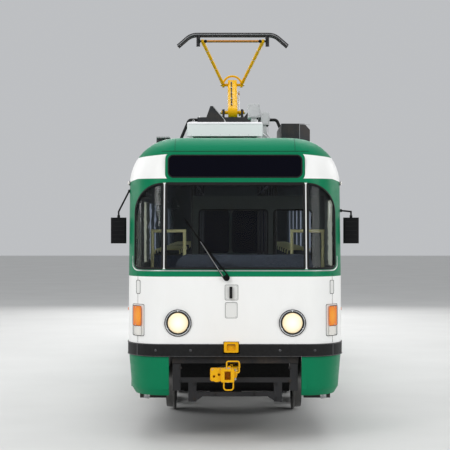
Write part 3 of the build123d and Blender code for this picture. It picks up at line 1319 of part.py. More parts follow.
with BuildPart() as panto_head:
    strip_z = HEAD_Z + HEAD_RISE - STRIP_THICK / 2
    turn = math.radians(HORN_TURN)
    bend_x = HEAD_HALF + HORN_R * math.sin(turn)
    bend_drop = HORN_R * (1 - math.cos(turn))
    for side in (-1, 1):
        strip_plane = Plane(origin=(0, PANTO_Y + side * STRIP_Y, strip_z), x_dir=(1, 0, 0), z_dir=(0, -1, 0))
        with BuildLine(strip_plane) as horn:
            Line((0, 0), (HEAD_HALF, 0))
            JernArc((HEAD_HALF, 0), (1, 0), HORN_R, -HORN_TURN)
            Line(
                (bend_x, -bend_drop),
                (bend_x + HORN_TIP * math.cos(turn), -bend_drop - HORN_TIP * math.sin(turn)),
            )
        with BuildSketch(Plane(origin=(0, PANTO_Y + side * STRIP_Y, strip_z), z_dir=(1, 0, 0))):
            RectangleRounded(STRIP_DEPTH, STRIP_THICK, STRIP_THICK / 4)
        sweep(path=horn.line)
    mirror(about=Plane.YZ)
    with Locations((0, PANTO_Y, HEAD_Z)):
        Cylinder(ROD_PIVOT_R, 2 * (UPPER_HALF + 54), rotation=(0, 90, 0))
    for side in (-1, 1):
        with BuildSketch(Plane.YZ.offset(side * (UPPER_HALF + 42) - 12)):
            with BuildLine() as plate:
                edge_y = STRIP_Y + STRIP_DEPTH / 2
                Polyline(
                    (PANTO_Y - edge_y, strip_z),
                    (PANTO_Y - edge_y, HEAD_Z + 20),
                    (PANTO_Y - 24, HEAD_Z - 24),
                    (PANTO_Y + 24, HEAD_Z - 24),
                    (PANTO_Y + edge_y, HEAD_Z + 20),
                    (PANTO_Y + edge_y, strip_z),
                    close=True,
                )
            make_face(plate.edges())
        extrude(amount=24)
        with Locations((side * (UPPER_HALF + 56), PANTO_Y, strip_z - SPRING_CUP_Z / 2)):
            Cylinder(SPRING_CUP_R, SPRING_CUP_Z)
panto_head.part.label = "panto_head"
export_step(panto_head.part, "parts/panto_head.step")

ROD_Y = PANTO_Y + ROD_BACK
ROD_Z = PANTO_Z - ROD_DROP
with BuildPart() as panto_rod:
    end_y = ROD_Y + ROD_LENGTH * math.cos(math.radians(ARM_ANGLE))
    end_z = ROD_Z + ROD_LENGTH * math.sin(math.radians(ARM_ANGLE))
    tube((ROD_X, ROD_Y, ROD_Z), (ROD_X, end_y, end_z), ROD_R)
    with Locations((ROD_X, ROD_Y, ROD_Z), (ROD_X, end_y, end_z)):
        Cylinder(2 * ROD_R, 2 * ROD_R + 4, rotation=(0, 90, 0))
        Cylinder(ROD_R - 1 + BEARING_FIT, 6 * ROD_R, rotation=(0, 90, 0), mode=Mode.SUBTRACT)
panto_rod.part.label = "panto_rod"
export_step(panto_rod.part, "parts/panto_rod.step")

# Boxes under the floor between the bogies: low x, high x, low y, high y, low z
BOX_END = BOGIE_Y - ARCH_HALF - 270
BOX_ROWS = [
    (660, 1000, -BOX_END, -100, 500),
    (660, 1000, 100, BOX_END, 500),
    (-1000, -660, -BOX_END, -DOOR_HALF - 150, 520),
    (-1000, -660, DOOR_HALF + 150, BOX_END, 520),
]

with BuildPart() as underfloor_boxes:
    for low_x, high_x, low_y, high_y, low_z in BOX_ROWS:
        with Locations(((low_x + high_x) / 2, (low_y + high_y) / 2, (low_z + BEARER_Z - SEAT_GAP) / 2)):
            Box(high_x - low_x, high_y - low_y, BEARER_Z - SEAT_GAP - low_z)
    chamfer(underfloor_boxes.edges().filter_by(Axis.Y).group_by(Axis.Z)[0], 20)
underfloor_boxes.part.label = "underfloor_boxes"
export_step(underfloor_boxes.part, "parts/underfloor_boxes.step")

# Cab desk with the partition behind the driver
DESK_LOW_X = -605.0
DESK_HIGH_X = 800.0
DESK_FRONT_Y = -(HALF_LENGTH - 220)
DESK_DEPTH = 380.0
DESK_TOP_Z = 1873.0
DESK_R = 130.0
WALL_Y = -(DOOR_END - DOOR_HALF - 40)
WALL_THICK = 30.0
WALL_LOW_X = -473.0
WALL_TOP_Z = 2508.0
WALL_WINDOW_Z = 1300.0
WALL_HEADER = 159.0
WALL_POST = 75.0
WALL_SPLIT_X = 420.0
DECK_Z = FLOOR_Z + SEAT_GAP

with BuildPart() as cab_desk:
    with BuildSketch(Plane.XZ.offset(-DESK_FRONT_Y)) as desk_face:
        with Locations(((DESK_LOW_X + DESK_HIGH_X) / 2, (DECK_Z + DESK_TOP_Z) / 2)):
            Rectangle(DESK_HIGH_X - DESK_LOW_X, DESK_TOP_Z - DECK_Z)
        fillet(desk_face.vertices().group_by(Axis.Y)[-1], DESK_R)
    extrude(amount=-DESK_DEPTH)
    with BuildSketch(Plane.XZ.offset(-WALL_Y)):
        high_x = HALF_WIDTH - WALL - SEAT_GAP
        with Locations(((WALL_LOW_X + high_x) / 2, (DECK_Z + WALL_TOP_Z) / 2)):
            Rectangle(high_x - WALL_LOW_X, WALL_TOP_Z - DECK_Z)
        light_top = WALL_TOP_Z - WALL_HEADER
        lights = [
            (WALL_LOW_X + WALL_POST, WALL_SPLIT_X - WALL_POST / 2),
            (WALL_SPLIT_X + WALL_POST / 2, high_x - 2 * WALL_POST),
        ]
        for low_x, end_x in lights:
            with Locations(((low_x + end_x) / 2, (WALL_WINDOW_Z + light_top) / 2)):
                RectangleRounded(end_x - low_x, light_top - WALL_WINDOW_Z, 40, mode=Mode.SUBTRACT)
    extrude(amount=-WALL_THICK)
cab_desk.part.label = "cab_desk"
export_step(cab_desk.part, "parts/cab_desk.step")

# Seats facing forward, and the driver's
SEAT_WIDTH = 420.0
SEAT_X = 790.0
SEAT_POST = 90.0
SEAT_PITCH = 800.0
SEAT_START_Y = WALL_Y + 560
LEFT_COUNT = int((DOOR_END - 500 - SEAT_START_Y) / SEAT_PITCH)
LEFT_SEATS = [SEAT_START_Y + row * SEAT_PITCH for row in range(LEFT_COUNT)]
BAY_SEATS = int((-DOOR_HALF - 400 - SEAT_START_Y) / SEAT_PITCH) + 1
RIGHT_SEATS = [SEAT_START_Y + row * SEAT_PITCH for row in range(BAY_SEATS)]
RIGHT_SEATS += [DOOR_HALF + 350 + row * SEAT_PITCH for row in range(BAY_SEATS)]
DRIVER_X = 330.0
DRIVER_Y = -(HALF_LENGTH - 1200)
SEAT_PROFILE = [
    (-215, 425),
    (-205, 470),
    (150, 455),
    (215, 905),
    (245, 915),
    (262, 900),
    (200, 410),
    (-190, 400),
]

with BuildPart() as seats:
    places = [(SEAT_X, y) for y in LEFT_SEATS] + [(-SEAT_X, y) for y in RIGHT_SEATS] + [(DRIVER_X, DRIVER_Y)]
    for x, y in places:
        with BuildSketch(Plane.YZ.offset(x - SEAT_WIDTH / 2)):
            with BuildLine() as shell:
                Polyline(*[(y + run, DECK_Z + rise) for run, rise in SEAT_PROFILE], close=True)
            make_face(shell.edges())
        extrude(amount=SEAT_WIDTH)
        with Locations((x, y, DECK_Z + SEAT_PROFILE[-1][1] / 2 + 5)):
            Box(SEAT_POST, SEAT_POST, SEAT_PROFILE[-1][1] + 10)
seats.part.label = "seats"
export_step(seats.part, "parts/seats.step")

# Handrails: two long rails on poles and two entry hoops behind the screen's corners
RAIL_R = 17.0
RAIL_X = 480.0
RAIL_Z = 2700.0
POLE_END = DOOR_END - DOOR_HALF - 250
POLE_Y = [POLE_END * share for share in (-1, -0.5, 0, 0.5, 1)]
HOOP_Z = 2113.0
HOOP_Y = -(HALF_LENGTH - 800)
HOOPS = [(-870, -530), (603, 930)]
CEILING_Z = ROOF_Z - WALL - SEAT_GAP

with BuildPart() as handrails:
    for side in (-1, 1):
        tube((side * RAIL_X, POLE_Y[0] - 200, RAIL_Z), (side * RAIL_X, POLE_Y[-1] + 200, RAIL_Z), RAIL_R)
        for y in POLE_Y:
            tube((side * RAIL_X, y, DECK_Z), (side * RAIL_X, y, CEILING_Z), RAIL_R)
    for low_x, high_x in HOOPS:
        tube((low_x, HOOP_Y, DECK_Z), (low_x, HOOP_Y, HOOP_Z), RAIL_R)
        tube((high_x, HOOP_Y, DECK_Z), (high_x, HOOP_Y, HOOP_Z), RAIL_R)
        tube((low_x - RAIL_R, HOOP_Y, HOOP_Z), (high_x + RAIL_R, HOOP_Y, HOOP_Z), RAIL_R)
handrails.part.label = "handrails"
export_step(handrails.part, "parts/handrails.step")
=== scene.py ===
import bpy, bmesh, json, math
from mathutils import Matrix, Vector


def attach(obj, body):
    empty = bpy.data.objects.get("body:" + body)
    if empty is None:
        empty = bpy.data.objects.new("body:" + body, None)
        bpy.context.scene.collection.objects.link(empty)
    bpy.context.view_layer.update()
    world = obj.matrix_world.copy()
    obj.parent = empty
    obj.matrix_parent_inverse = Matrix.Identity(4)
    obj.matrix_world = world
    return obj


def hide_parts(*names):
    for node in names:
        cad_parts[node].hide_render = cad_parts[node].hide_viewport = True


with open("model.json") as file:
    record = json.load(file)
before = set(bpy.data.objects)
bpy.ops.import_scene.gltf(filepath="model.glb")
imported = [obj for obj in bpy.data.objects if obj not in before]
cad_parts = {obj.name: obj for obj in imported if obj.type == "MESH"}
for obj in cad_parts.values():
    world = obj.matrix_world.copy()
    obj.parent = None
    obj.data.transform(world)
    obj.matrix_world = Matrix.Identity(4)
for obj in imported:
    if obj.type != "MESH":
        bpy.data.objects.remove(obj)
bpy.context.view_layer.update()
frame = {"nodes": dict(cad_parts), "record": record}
record = frame["record"]
BODY_OF = {node: body for body, nodes in record["behaviour"]["bodies"].items() for node in nodes}

# ---------------------------------------------------------------- main measures, in metres
# The front faces -Y, Z is up and z = 0 is at the tips of the wheel flanges.
HALF_LENGTH, HALF_WIDTH = 7.0, 1.1
FOOT_Z, BELT_Z, SHOULDER_Z = 0.85, 1.69, 2.6        # bumper, foot of the screen and start of the dome
BELT_RISE, SCREEN_RISE = 0.84, 0.91                 # heights between them
BELT_SETBACK, SCREEN_SETBACK = 0.04, 0.16           # how far the nose leans back over each
SHOULDER_R, SHOULDER_X = 0.48, 0.62
ROOF_Z = SHOULDER_Z + SHOULDER_R
CORNER_SPREAD, CORNER_STRETCH = 0.38, 1.37
DOME = [(0, 0, 0), (7.5, 6, 5), (15, 14, 12), (22.5, 25, 22), (30, 38, 35), (37.5, 54, 50), (45, 74, 67),
        (52.5, 98, 86), (60, 128, 107), (67.5, 165, 130), (75, 208, 155), (82.5, 258, 182), (90, 315, 210)]
LAMP_X, LAMP_Z = 0.576, 1.19                        # headlamps
CORNER_LAMP_X, CORNER_LAMP_Z = 0.99, 1.256
DISPLAY_X, DISPLAY_Z, DISPLAY_EDGE = 0.639, 2.774, 0.075
POST_X, POST_HALF, POST_Z, POST_REACH = 0.719, 0.0145, 2.168, 0.438
WHITE_LOW, WHITE_HIGH = 0.853, 1.655                # lower white panel
AXLES, AXLE_Z = (-4.15, -2.25, 2.25, 4.15), 0.378
DOORWAYS = {"front": -5.5, "middle": 0.0, "rear": 5.5}
SIDES = (-1, 1)
UP = Vector((0, 0, 1))


def lin(r, g, b):
    """Display colour from 0 to 255 as linear."""
    out = []
    for c in (r, g, b):
        c /= 255
        out.append(c / 12.92 if c <= 0.04045 else ((c + 0.055) / 1.055) ** 2.4)
    return (*out, 1.0)


def dome_rows(z):
    """Setback and corner spread on the dome, from the table of angle, setback and loss of spread in mm."""
    a = math.degrees(math.asin(min(1.0, (z - SHOULDER_Z) / SHOULDER_R)))
    for (a0, s0, c0), (a1, s1, c1) in zip(DOME, DOME[1:]):
        if a <= a1:
            t = (a - a0) / (a1 - a0)
            return 0.2 + (s0 + t * (s1 - s0)) / 1000, 0.38 - (c0 + t * (c1 - c0)) / 1000
    return 0.515, 0.17


def section(z):
    """Setback of the nose, spread of the corner and half width at a height."""
    if z <= BELT_Z:
        return BELT_SETBACK * (z - FOOT_Z) / BELT_RISE, CORNER_SPREAD, HALF_WIDTH
    if z <= SHOULDER_Z:
        return BELT_SETBACK + SCREEN_SETBACK * (z - BELT_Z) / SCREEN_RISE, CORNER_SPREAD, HALF_WIDTH
    setback, spread = dome_rows(z)
    return setback, spread, SHOULDER_X + math.sqrt(max(0.0, SHOULDER_R ** 2 - (z - SHOULDER_Z) ** 2))


def front_y(x, z):
    setback, spread, half = section(z)
    nose = HALF_LENGTH - setback
    u = (abs(x) - (half - spread)) / spread
    if u <= 0:
        return -nose
    u = min(u, 0.9999)
    return -(nose - spread * CORNER_STRETCH * (1 - math.sqrt(1 - u * u)))


def front_point(x, z, rise=0.0):
    """Point on the front, moved out along the surface's normal."""
    e = 0.002
    dx = (front_y(x + e, z) - front_y(x - e, z)) / (2 * e)
    dz = (front_y(x, z + e) - front_y(x, z - e)) / (2 * e)
    return Vector((x, front_y(x, z), z)) + Vector((dx, -1.0, dz)).normalized() * rise


def front_normal(x, z):
    return (front_point(x, z, 1.0) - front_point(x, z)).normalized()


def at_end(v, end):
    """A point or normal of the front, carried over to the rear where end is 1."""
    return Vector((v.x, -v.y, v.z)) if end > 0 else v


# ---------------------------------------------------------------- materials
def feed(nt, item, inputs):
    """Link each named input to a socket, or set its constant."""
    for key, value in inputs.items():
        if isinstance(value, bpy.types.NodeSocket):
            nt.links.new(value, item.inputs[key])
        else:
            item.inputs[key].default_value = value


def new_node(nt, kind, inputs, **settings):
    n = nt.nodes.new("ShaderNode" + kind)
    for key, value in settings.items():
        setattr(n, key, value)
    feed(nt, n, inputs)
    return n


def new_mat(name):
    m = bpy.data.materials.new(name)
    m.use_nodes = True
    return m, m.node_tree, m.node_tree.nodes["Principled BSDF"]


def coords(nt):
    return new_node(nt, "TexCoord", {}).outputs["Object"]


def place(nt):
    """The x, y and z of the shaded point."""
    return new_node(nt, "SeparateXYZ", {0: coords(nt)}).outputs


def noise(nt, scale, detail=4.0, rough=0.55, stretch=(1, 1, 1)):
    spread = new_node(nt, "Mapping", {"Vector": coords(nt), "Scale": stretch}).outputs["Vector"]
    return new_node(nt, "TexNoise", {"Vector": spread, "Scale": scale, "Detail": detail,
                                     "Roughness": rough}).outputs["Fac"]


def grey(v):
    return (v, v, v, 1.0)


def shade(color, k):
    return tuple(c * k for c in color[:3]) + (1.0,)


def ramp(nt, src, lo, hi, c0, c1):
    """Colour ramp between two stops; a number stands for a grey."""
    r = new_node(nt, "ValToRGB", {"Fac": src})
    for stop, position, color in zip(r.color_ramp.elements, (lo, hi), (c0, c1)):
        stop.position = position
        stop.color = color if isinstance(color, tuple) else grey(color)
    return r.outputs["Color"]


def bump(nt, b, height, strength, distance):
    n = new_node(nt, "Bump", {"Height": height, "Strength": strength, "Distance": distance})
    feed(nt, b, {"Normal": n.outputs["Normal"]})


def mix(nt, fac, a, b):
    """Colour between a and b; 0, 6, 7 and 2 are the colour sockets of the Mix node."""
    n = new_node(nt, "Mix", {}, data_type="RGBA")
    feed(nt, n, {0: fac, 6: a, 7: b})
    return n.outputs[2]


def calc(nt, op, *values, clamp=False):
    return new_node(nt, "Math", dict(enumerate(values)), operation=op, use_clamp=clamp).outputs[0]


def paint(name, color, rough=0.32, coat=0.06, grime=0.25, peel=0.02):
    """Sprayed metal: faint mottling, dust in patches and orange peel."""
    m, nt, b = new_mat(name)
    worn = ramp(nt, noise(nt, 3.0, 5.0, 0.6), 0.35, 0.7, 0, grime)
    dust = noise(nt, 9.0, 6.0, 0.65, (1, 0.4, 2))
    feed(nt, b, {"Base Color": mix(nt, worn, color, shade(color, 0.82)),
                 "Roughness": ramp(nt, dust, 0.3, 0.8, rough, min(1.0, rough + 0.22)),
                 "Specular IOR Level": 0.12, "Coat Weight": coat, "Coat Roughness": 0.1})
    bump(nt, b, noise(nt, 220.0, 2.0, 0.5), peel, 0.002)
    return m


# the paler green is a painted highlight on the top of the roof
GREEN, PAINTED_HIGHLIGHT_GREEN = lin(0, 120, 80), lin(34, 140, 106)
WHITE, DUSTY_WHITE = lin(243, 243, 241), lin(222, 221, 216)
BLACK = lin(20, 20, 21)


def livery_and_highlight(name, front=False):
    """Green paint with white panels by height, and a painted highlight: the top of the roof is painted paler green;
    the front keeps its display and posts apart.
    """
    m = paint(name, GREEN)
    nt = m.node_tree
    b = nt.nodes["Principled BSDF"]

    def do(op, *values, **more):
        return calc(nt, op, *values, **more)

    x, _, z = place(nt)
    x = do("ABSOLUTE", x)
    # painted highlight: the green is mixed towards the paler green over the top of the roof, from about z = 2.91 m up
    crown = ramp(nt, do("MULTIPLY_ADD", z, 5.0, -14.5, clamp=True), 0.05, 0.6, 0, 0.55)
    green = mix(nt, crown, b.inputs["Base Color"].links[0].from_socket, PAINTED_HIGHLIGHT_GREEN)
    low = do("MULTIPLY", do("LESS_THAN", z, WHITE_HIGH), do("GREATER_THAN", z, WHITE_LOW))
    low_edge = do("SUBTRACT", 2.65, do("MULTIPLY", do("MAXIMUM", do("SUBTRACT", x, 1.0), 0.0), 0.28))
    top_edge = do("SUBTRACT", 2.955, do("MULTIPLY", x, 0.08))
    band = do("MULTIPLY", do("GREATER_THAN", z, low_edge), do("LESS_THAN", z, top_edge))
    if front:
        qx = do("MAXIMUM", do("SUBTRACT", x, DISPLAY_X), 0.0)
        dz = do("ABSOLUTE", do("SUBTRACT", z, DISPLAY_Z))
        qz = do("MAXIMUM", do("SUBTRACT", dz, DISPLAY_EDGE), 0.0)
        reach = do("ADD", do("MULTIPLY", qx, qx), do("MULTIPLY", qz, qz))
        clear = do("MULTIPLY", do("GREATER_THAN", reach, DISPLAY_EDGE ** 2), do("GREATER_THAN", x, 0.64))
        band = do("MULTIPLY", band, clear)
        off = do("ABSOLUTE", do("SUBTRACT", x, POST_X))
        middle = do("LESS_THAN", do("ABSOLUTE", do("SUBTRACT", z, POST_Z)), POST_REACH)
        band = do("MAXIMUM", band, do("MULTIPLY", do("LESS_THAN", off, POST_HALF), middle))
    dirt = ramp(nt, noise(nt, 2.2, 6.0, 0.6, (1, 0.6, 0.35)), 0.4, 0.85, 0, 0.3)
    white = mix(nt, dirt, WHITE, DUSTY_WHITE)
    feed(nt, b, {"Base Color": mix(nt, do("MAXIMUM", low, band), green, white)})
    return m


def rubber(name, color=BLACK, rough=0.62):
    m, nt, b = new_mat(name)
    n = noise(nt, 40.0, 5.0, 0.6)
    pale = tuple(min(1.0, c * 1.7 + 0.004) for c in color[:3]) + (1.0,)
    feed(nt, b, {"Base Color": ramp(nt, n, 0.35, 0.8, color, pale), "Roughness": rough,
                 "Specular IOR Level": 0.25})
    bump(nt, b, n, 0.12, 0.003)
    return m


def metal(name, color, rough=0.3, brushed=(1, 1, 1)):
    m, nt, b = new_mat(name)
    n = noise(nt, 60.0, 5.0, 0.6, brushed)
    feed(nt, b, {"Base Color": ramp(nt, n, 0.3, 0.75, color, shade(color, 0.72)), "Metallic": 1.0,
                 "Roughness": ramp(nt, n, 0.3, 0.8, rough, min(1.0, rough + 0.15))})
    bump(nt, b, n, 0.08, 0.001)
    return m


def grimy(name, color, rough=0.6, dirt=lin(92, 78, 64)):
    """Painted chassis metal with brown road dust."""
    m, nt, b = new_mat(name)
    n = noise(nt, 5.0, 8.0, 0.68)
    feed(nt, b, {"Base Color": mix(nt, ramp(nt, n, 0.45, 0.85, 0, 0.55), color, dirt),
                 "Roughness": ramp(nt, n, 0.3, 0.8, rough - 0.12, min(1.0, rough + 0.2)),
                 "Specular IOR Level": 0.3})
    bump(nt, b, noise(nt, 90.0, 4.0, 0.6), 0.15, 0.002)
    return m


def glass(name, tint, rough=0.02, trans=1.0, spec=0.5, ior=1.45):
    m, nt, b = new_mat(name)
    feed(nt, b, {"Base Color": tint, "Transmission Weight": trans, "IOR": ior, "Specular IOR Level": spec,
                 "Roughness": ramp(nt, noise(nt, 4.0, 3.0, 0.5), 0.4, 0.8, rough, rough + 0.03)})
    return m


def painted_daylight_glass(name):
    """The cabin side of a side pane, glowing with painted daylight: cream by the cab, light blue farther back."""
    m = glass(name, (0.42, 0.47, 0.55, 1.0), 0.02, 0.75)
    nt = m.node_tree
    back = calc(nt, "MULTIPLY_ADD", place(nt)[1], 1.0, 3.9, clamp=True)
    painted_daylight = ramp(nt, back, 0.4, 0.6, lin(204, 206, 184), lin(176, 185, 204))
    # painted light: the glass itself glows, standing for daylight behind the pane
    feed(nt, nt.nodes["Principled BSDF"], {"Emission Color": painted_daylight, "Emission Strength": 0.34})
    return m


def lens(name, color, glow=0.0, ribs=90.0, trans=0.35):
    """Lamp glass or plastic with moulded ribs."""
    m, nt, b = new_mat(name)
    w = new_node(nt, "TexWave", {"Vector": coords(nt), "Scale": ribs / 6.283, "Distortion": 0.0},
                 wave_type="BANDS", bands_direction="X").outputs["Fac"]
    feed(nt, b, {"Base Color": ramp(nt, w, 0.2, 0.9, color, shade(color, 0.75)), "Roughness": 0.12,
                 "Transmission Weight": trans, "Coat Weight": 0.6})
    if glow:
        feed(nt, b, {"Emission Color": color, "Emission Strength": glow})
    bump(nt, b, w, 0.35, 0.002)
    return m


def hot_spot(m, cx, cz, rx, rz, core, rim, strength):
    """Brighter middle of a lamp on both sides of the front, by place."""
    nt = m.node_tree
    b = nt.nodes["Principled BSDF"]
    x, _, z = place(nt)
    ax = calc(nt, "MULTIPLY", calc(nt, "SUBTRACT", calc(nt, "ABSOLUTE", x), cx), 1 / rx)
    az = calc(nt, "MULTIPLY", calc(nt, "SUBTRACT", z, cz), 1 / rz)
    spot = ramp(nt, calc(nt, "ADD", calc(nt, "MULTIPLY", ax, ax), calc(nt, "MULTIPLY", az, az)), 0.0, 1.0, core, rim)
    old = b.inputs["Base Color"].links[0].from_socket
    feed(nt, b, {"Base Color": mix(nt, 0.5, spot, old), "Emission Color": spot, "Emission Strength": strength})
    return m


MAT = {
    "front": livery_and_highlight("livery_front", True),
    "body": livery_and_highlight("livery_body"),
    "green": paint("green_paint", GREEN),
    "inside": paint("lining_panels", lin(92, 98, 97), 0.6, 0.0, 0.4, 0.06),
    "bumper": rubber("bumper_rubber", lin(12, 12, 13), 0.6),
    "bumper_edge": rubber("bumper_edge", lin(58, 58, 59), 0.5),
    "rubber": rubber("black_rubber", lin(12, 12, 13)),
    "glass": glass("window_glass", (0.60, 0.68, 0.82, 1.0), 0.02, 0.75),
    # the cabin side of the side and door panes glows with painted daylight
    "glass_in": painted_daylight_glass("window_glass_inside"),
    "screen": glass("screen_glass", (0.88, 0.91, 0.92, 1.0), 0.01, 1.0, 0.3, 1.2),
    "rear_glass": glass("rear_window_glass", (0.004, 0.006, 0.022, 1.0), 0.04, 0.1, 0.15),
    "display": glass("display_glass", (0.0004, 0.0004, 0.004, 1.0), 0.06, 0.0, 0.12),
    "chrome": metal("chrome", (0.80, 0.81, 0.82, 1.0), 0.1),
    "dark_ring": metal("lamp_ring", (0.09, 0.09, 0.095, 1.0), 0.4),
    "headlamp": hot_spot(lens("headlamp_glass", lin(250, 232, 196), 0.0, 420.0, 0.2), LAMP_X, LAMP_Z, 0.1, 0.1,
                         lin(255, 253, 240), lin(226, 206, 160), 0.45),
    "clear": lens("clear_lamp_plastic", lin(246, 243, 236), 0.1, 700.0, 0.2),
    "orange": hot_spot(lens("orange_lamp_plastic", lin(238, 132, 4), 0.0, 700.0, 0.05), CORNER_LAMP_X,
                       CORNER_LAMP_Z, 0.045, 0.11, lin(250, 170, 30), lin(222, 104, 0), 0.2),
    "red": lens("red_lamp_plastic", lin(170, 8, 10), 0.08, 500.0, 0.15),
    "pale": paint("pale_plate_paint", lin(228, 228, 225), 0.45, 0.05),
    "yellow": paint("coupler_paint", lin(236, 176, 14), 0.42, 0.08, 0.6),
    "arm_yellow": paint("pantograph_paint", lin(236, 182, 6), 0.42, 0.08, 0.5),
    "bronze": metal("bronze", (0.55, 0.25, 0.06, 1.0), 0.38),
    "black": paint("satin_black_paint", lin(16, 16, 18), 0.45, 0.05, 0.3, 0.05),
    "wiper": paint("wiper_paint", lin(7, 7, 8), 0.6, 0.0, 0.12, 0.05),
    "chassis": grimy("chassis_paint", lin(26, 26, 28)),
    "guard": grimy("guard_paint", lin(33, 33, 35), 0.55, lin(54, 52, 50)),
    "bogie": grimy("bogie_paint", lin(26, 26, 28), 0.65, lin(62, 56, 50)),
    "motor": grimy("motor_paint", lin(36, 37, 39), 0.6, lin(66, 60, 54)),
    "brake": metal("brake_iron", (0.09, 0.08, 0.075, 1.0), 0.6),
    "steel": metal("wheel_steel", (0.05, 0.048, 0.047, 1.0), 0.5),
    "tread": metal("wheel_tread", (0.2, 0.196, 0.192, 1.0), 0.3, (1, 1, 0.1)),
    "bright": metal("bright_steel", grey(0.62), 0.25),
    "floor": rubber("floor_mat", lin(44, 44, 46), 0.75),
    "step": metal("step_sheet", (0.30, 0.30, 0.31, 1.0), 0.5),
    "desk": rubber("desk_plastic", lin(52, 57, 68), 0.6),
    "seat": paint("seat_shell", lin(52, 55, 60), 0.45, 0.05),
    "cushion": rubber("seat_cloth", lin(46, 54, 74), 0.9),
    "rail": paint("handrail_paint", lin(196, 190, 140), 0.3, 0.2),
    "rail_dark": paint("pole_paint", lin(58, 58, 60), 0.35, 0.1),
    "unit": paint("roof_unit_paint", lin(243, 240, 243), 0.5, 0.05, 0.2),
    "dark_box": grimy("roof_box_paint", lin(42, 42, 46), 0.55),
    "grey_box": paint("grey_box_paint", lin(196, 198, 198), 0.5, 0.05, 0.4),
    "strip_grey": metal("walkway_sheet", (0.42, 0.42, 0.43, 1.0), 0.5),
    "carbon": rubber("carbon_strip", lin(40, 38, 40), 0.5),
    "ceramic": paint("insulator_glaze", lin(96, 40, 26), 0.18, 0.5, 0.3, 0.0),
    "mirror": metal("mirror_glass", (0.86, 0.88, 0.90, 1.0), 0.02),
    "lamp_cover": lens("ceiling_lamp_cover", lin(226, 228, 224), 0.0, 260.0, 0.1),
    "grille": grimy("grille_paint", lin(14, 14, 15), 0.7),
}

NODE_MAT = {
    "front_mask": "front", "rear_mask": "body", "roof": "body", "side_left": "body", "side_right": "body",
    "skirts": "green", "bumpers": "bumper", "socket_box": "yellow", "side_windows": "glass", "windscreen": "screen",
    "rear_window": "rear_glass", "display": "display", "headlight_rims": "chrome", "clear_lamps": "clear",
    "indicators": "orange", "tail_lamps": "red", "front_plates": "pale", "wiper": "wiper", "mirrors": "black",
    "floor": "floor", "steps": "step", "underframe": "chassis", "end_guards": "guard", "cab_desk": "desk",
    "seats": "seat", "handrails": "rail", "roof_unit": "unit", "resistor_box": "dark_box", "roof_boxes": "grey_box",
    "panto_base": "dark_box", "panto_lower_arm": "arm_yellow", "panto_upper_arm": "arm_yellow",
    "panto_head": "carbon", "panto_rod": "bright", "underfloor_boxes": "chassis", "bogie_frame": "bogie",
    "motors": "motor", "track_brakes": "brake", "wheelset": "steel", "coupler": "yellow", "door": "body",
    "roof_conduits": "rubber",
}


# ---------------------------------------------------------------- mesh tools
# Places are in metres; radii, profiles, sections and the sizes of bolts are in mm.
def basis(axis):
    axis = Vector(axis).normalized()
    u = axis.cross(UP if abs(axis.z) < 0.9 else Vector((1, 0, 0))).normalized()
    return axis, u, axis.cross(u)


def circle(bm, centre, u, v, radius, sides, turn=0.0):
    """Ring of vertices round a centre."""
    angles = [turn + k * math.tau / sides for k in range(sides)]
    return [bm.verts.new(centre + (u * math.cos(a) + v * math.sin(a)) * radius) for a in angles]


def skin(bm, rings, mat, closed=False, caps=True):
    """Faces between rings of vertices, a ring of one vertex being a point."""
    pairs = list(zip(rings, rings[1:]))
    if closed:
        pairs.append((rings[-1], rings[0]))
    for a, b in pairs:
        n = max(len(a), len(b))
        for i in range(n):
            j = (i + 1) % n
            if len(a) == 1:
                quad = (a[0], b[j], b[i])
            elif len(b) == 1:
                quad = (a[i], a[j], b[0])
            else:
                quad = (a[i], a[j], b[j], b[i])
            bm.faces.new(quad).material_index = mat
    if caps and not closed:
        for end in (rings[0][::-1], rings[-1]):
            if len(end) > 2:
                bm.faces.new(end).material_index = mat


def heading(pts, i, closed):
    """Direction of a path at one of its points."""
    a = pts[i - 1] if closed or i else pts[0]
    b = pts[(i + 1) % len(pts)] if closed or i < len(pts) - 1 else pts[-1]
    return (b - a).normalized()


def tube(bm, pts, radius, sides=10, mat=0, closed=False):
    """Round bar along a path, turned as little as possible."""
    pts = [Vector(p) for p in pts]
    u = None
    rings = []
    for i, p in enumerate(pts):
        t = heading(pts, i, closed)
        u = basis(t)[1] if u is None else (u - t * u.dot(t)).normalized()
        rings.append(circle(bm, p, u, t.cross(u), radius / 1000, sides))
    skin(bm, rings, mat, closed)


def lathe(bm, profile, origin, axis, sides=32, mat=0, closed=True, turn=0.0):
    """Turned part: profile of (radius, distance along the axis)."""
    axis, u, v = basis(axis)
    rings = []
    for r, h in profile:
        c = Vector(origin) + axis * (h / 1000)
        rings.append(circle(bm, c, u, v, r / 1000, sides, turn) if r else [bm.verts.new(c)])
    skin(bm, rings, mat, caps=closed)


def block(bm, a, b, mat=0):
    """Box by two opposite corners."""
    xs, ys, zs = (sorted(pair) for pair in zip(a, b))
    vs = [bm.verts.new((x, y, z)) for x in xs for y in ys for z in zs]
    for q in ((0, 1, 3, 2), (4, 6, 7, 5), (0, 4, 5, 1), (2, 3, 7, 6), (0, 2, 6, 4), (1, 5, 7, 3)):
        bm.faces.new([vs[i] for i in q]).material_index = mat


def prism(bm, loop, vec, mat=0):
    """Flat outline pushed along a vector."""
    vec = Vector(vec)
    a = [bm.verts.new(Vector(p)) for p in loop]
    b = [bm.verts.new(Vector(p) + vec) for p in loop]
    skin(bm, [a, b], mat)


def lay(outline, axis, at):
    """Points of a flat outline laid across axis 0, 1 or 2."""
    pts = []
    for p in outline:
        q = [p[0], p[1]]
        q.insert(axis, at)
        pts.append(Vector(q))
    return pts


def plate(bm, outline, axis, at, depth, mat=0):
    vec = [0, 0, 0]
    vec[axis] = depth
    prism(bm, lay(outline, axis, at), vec, mat)


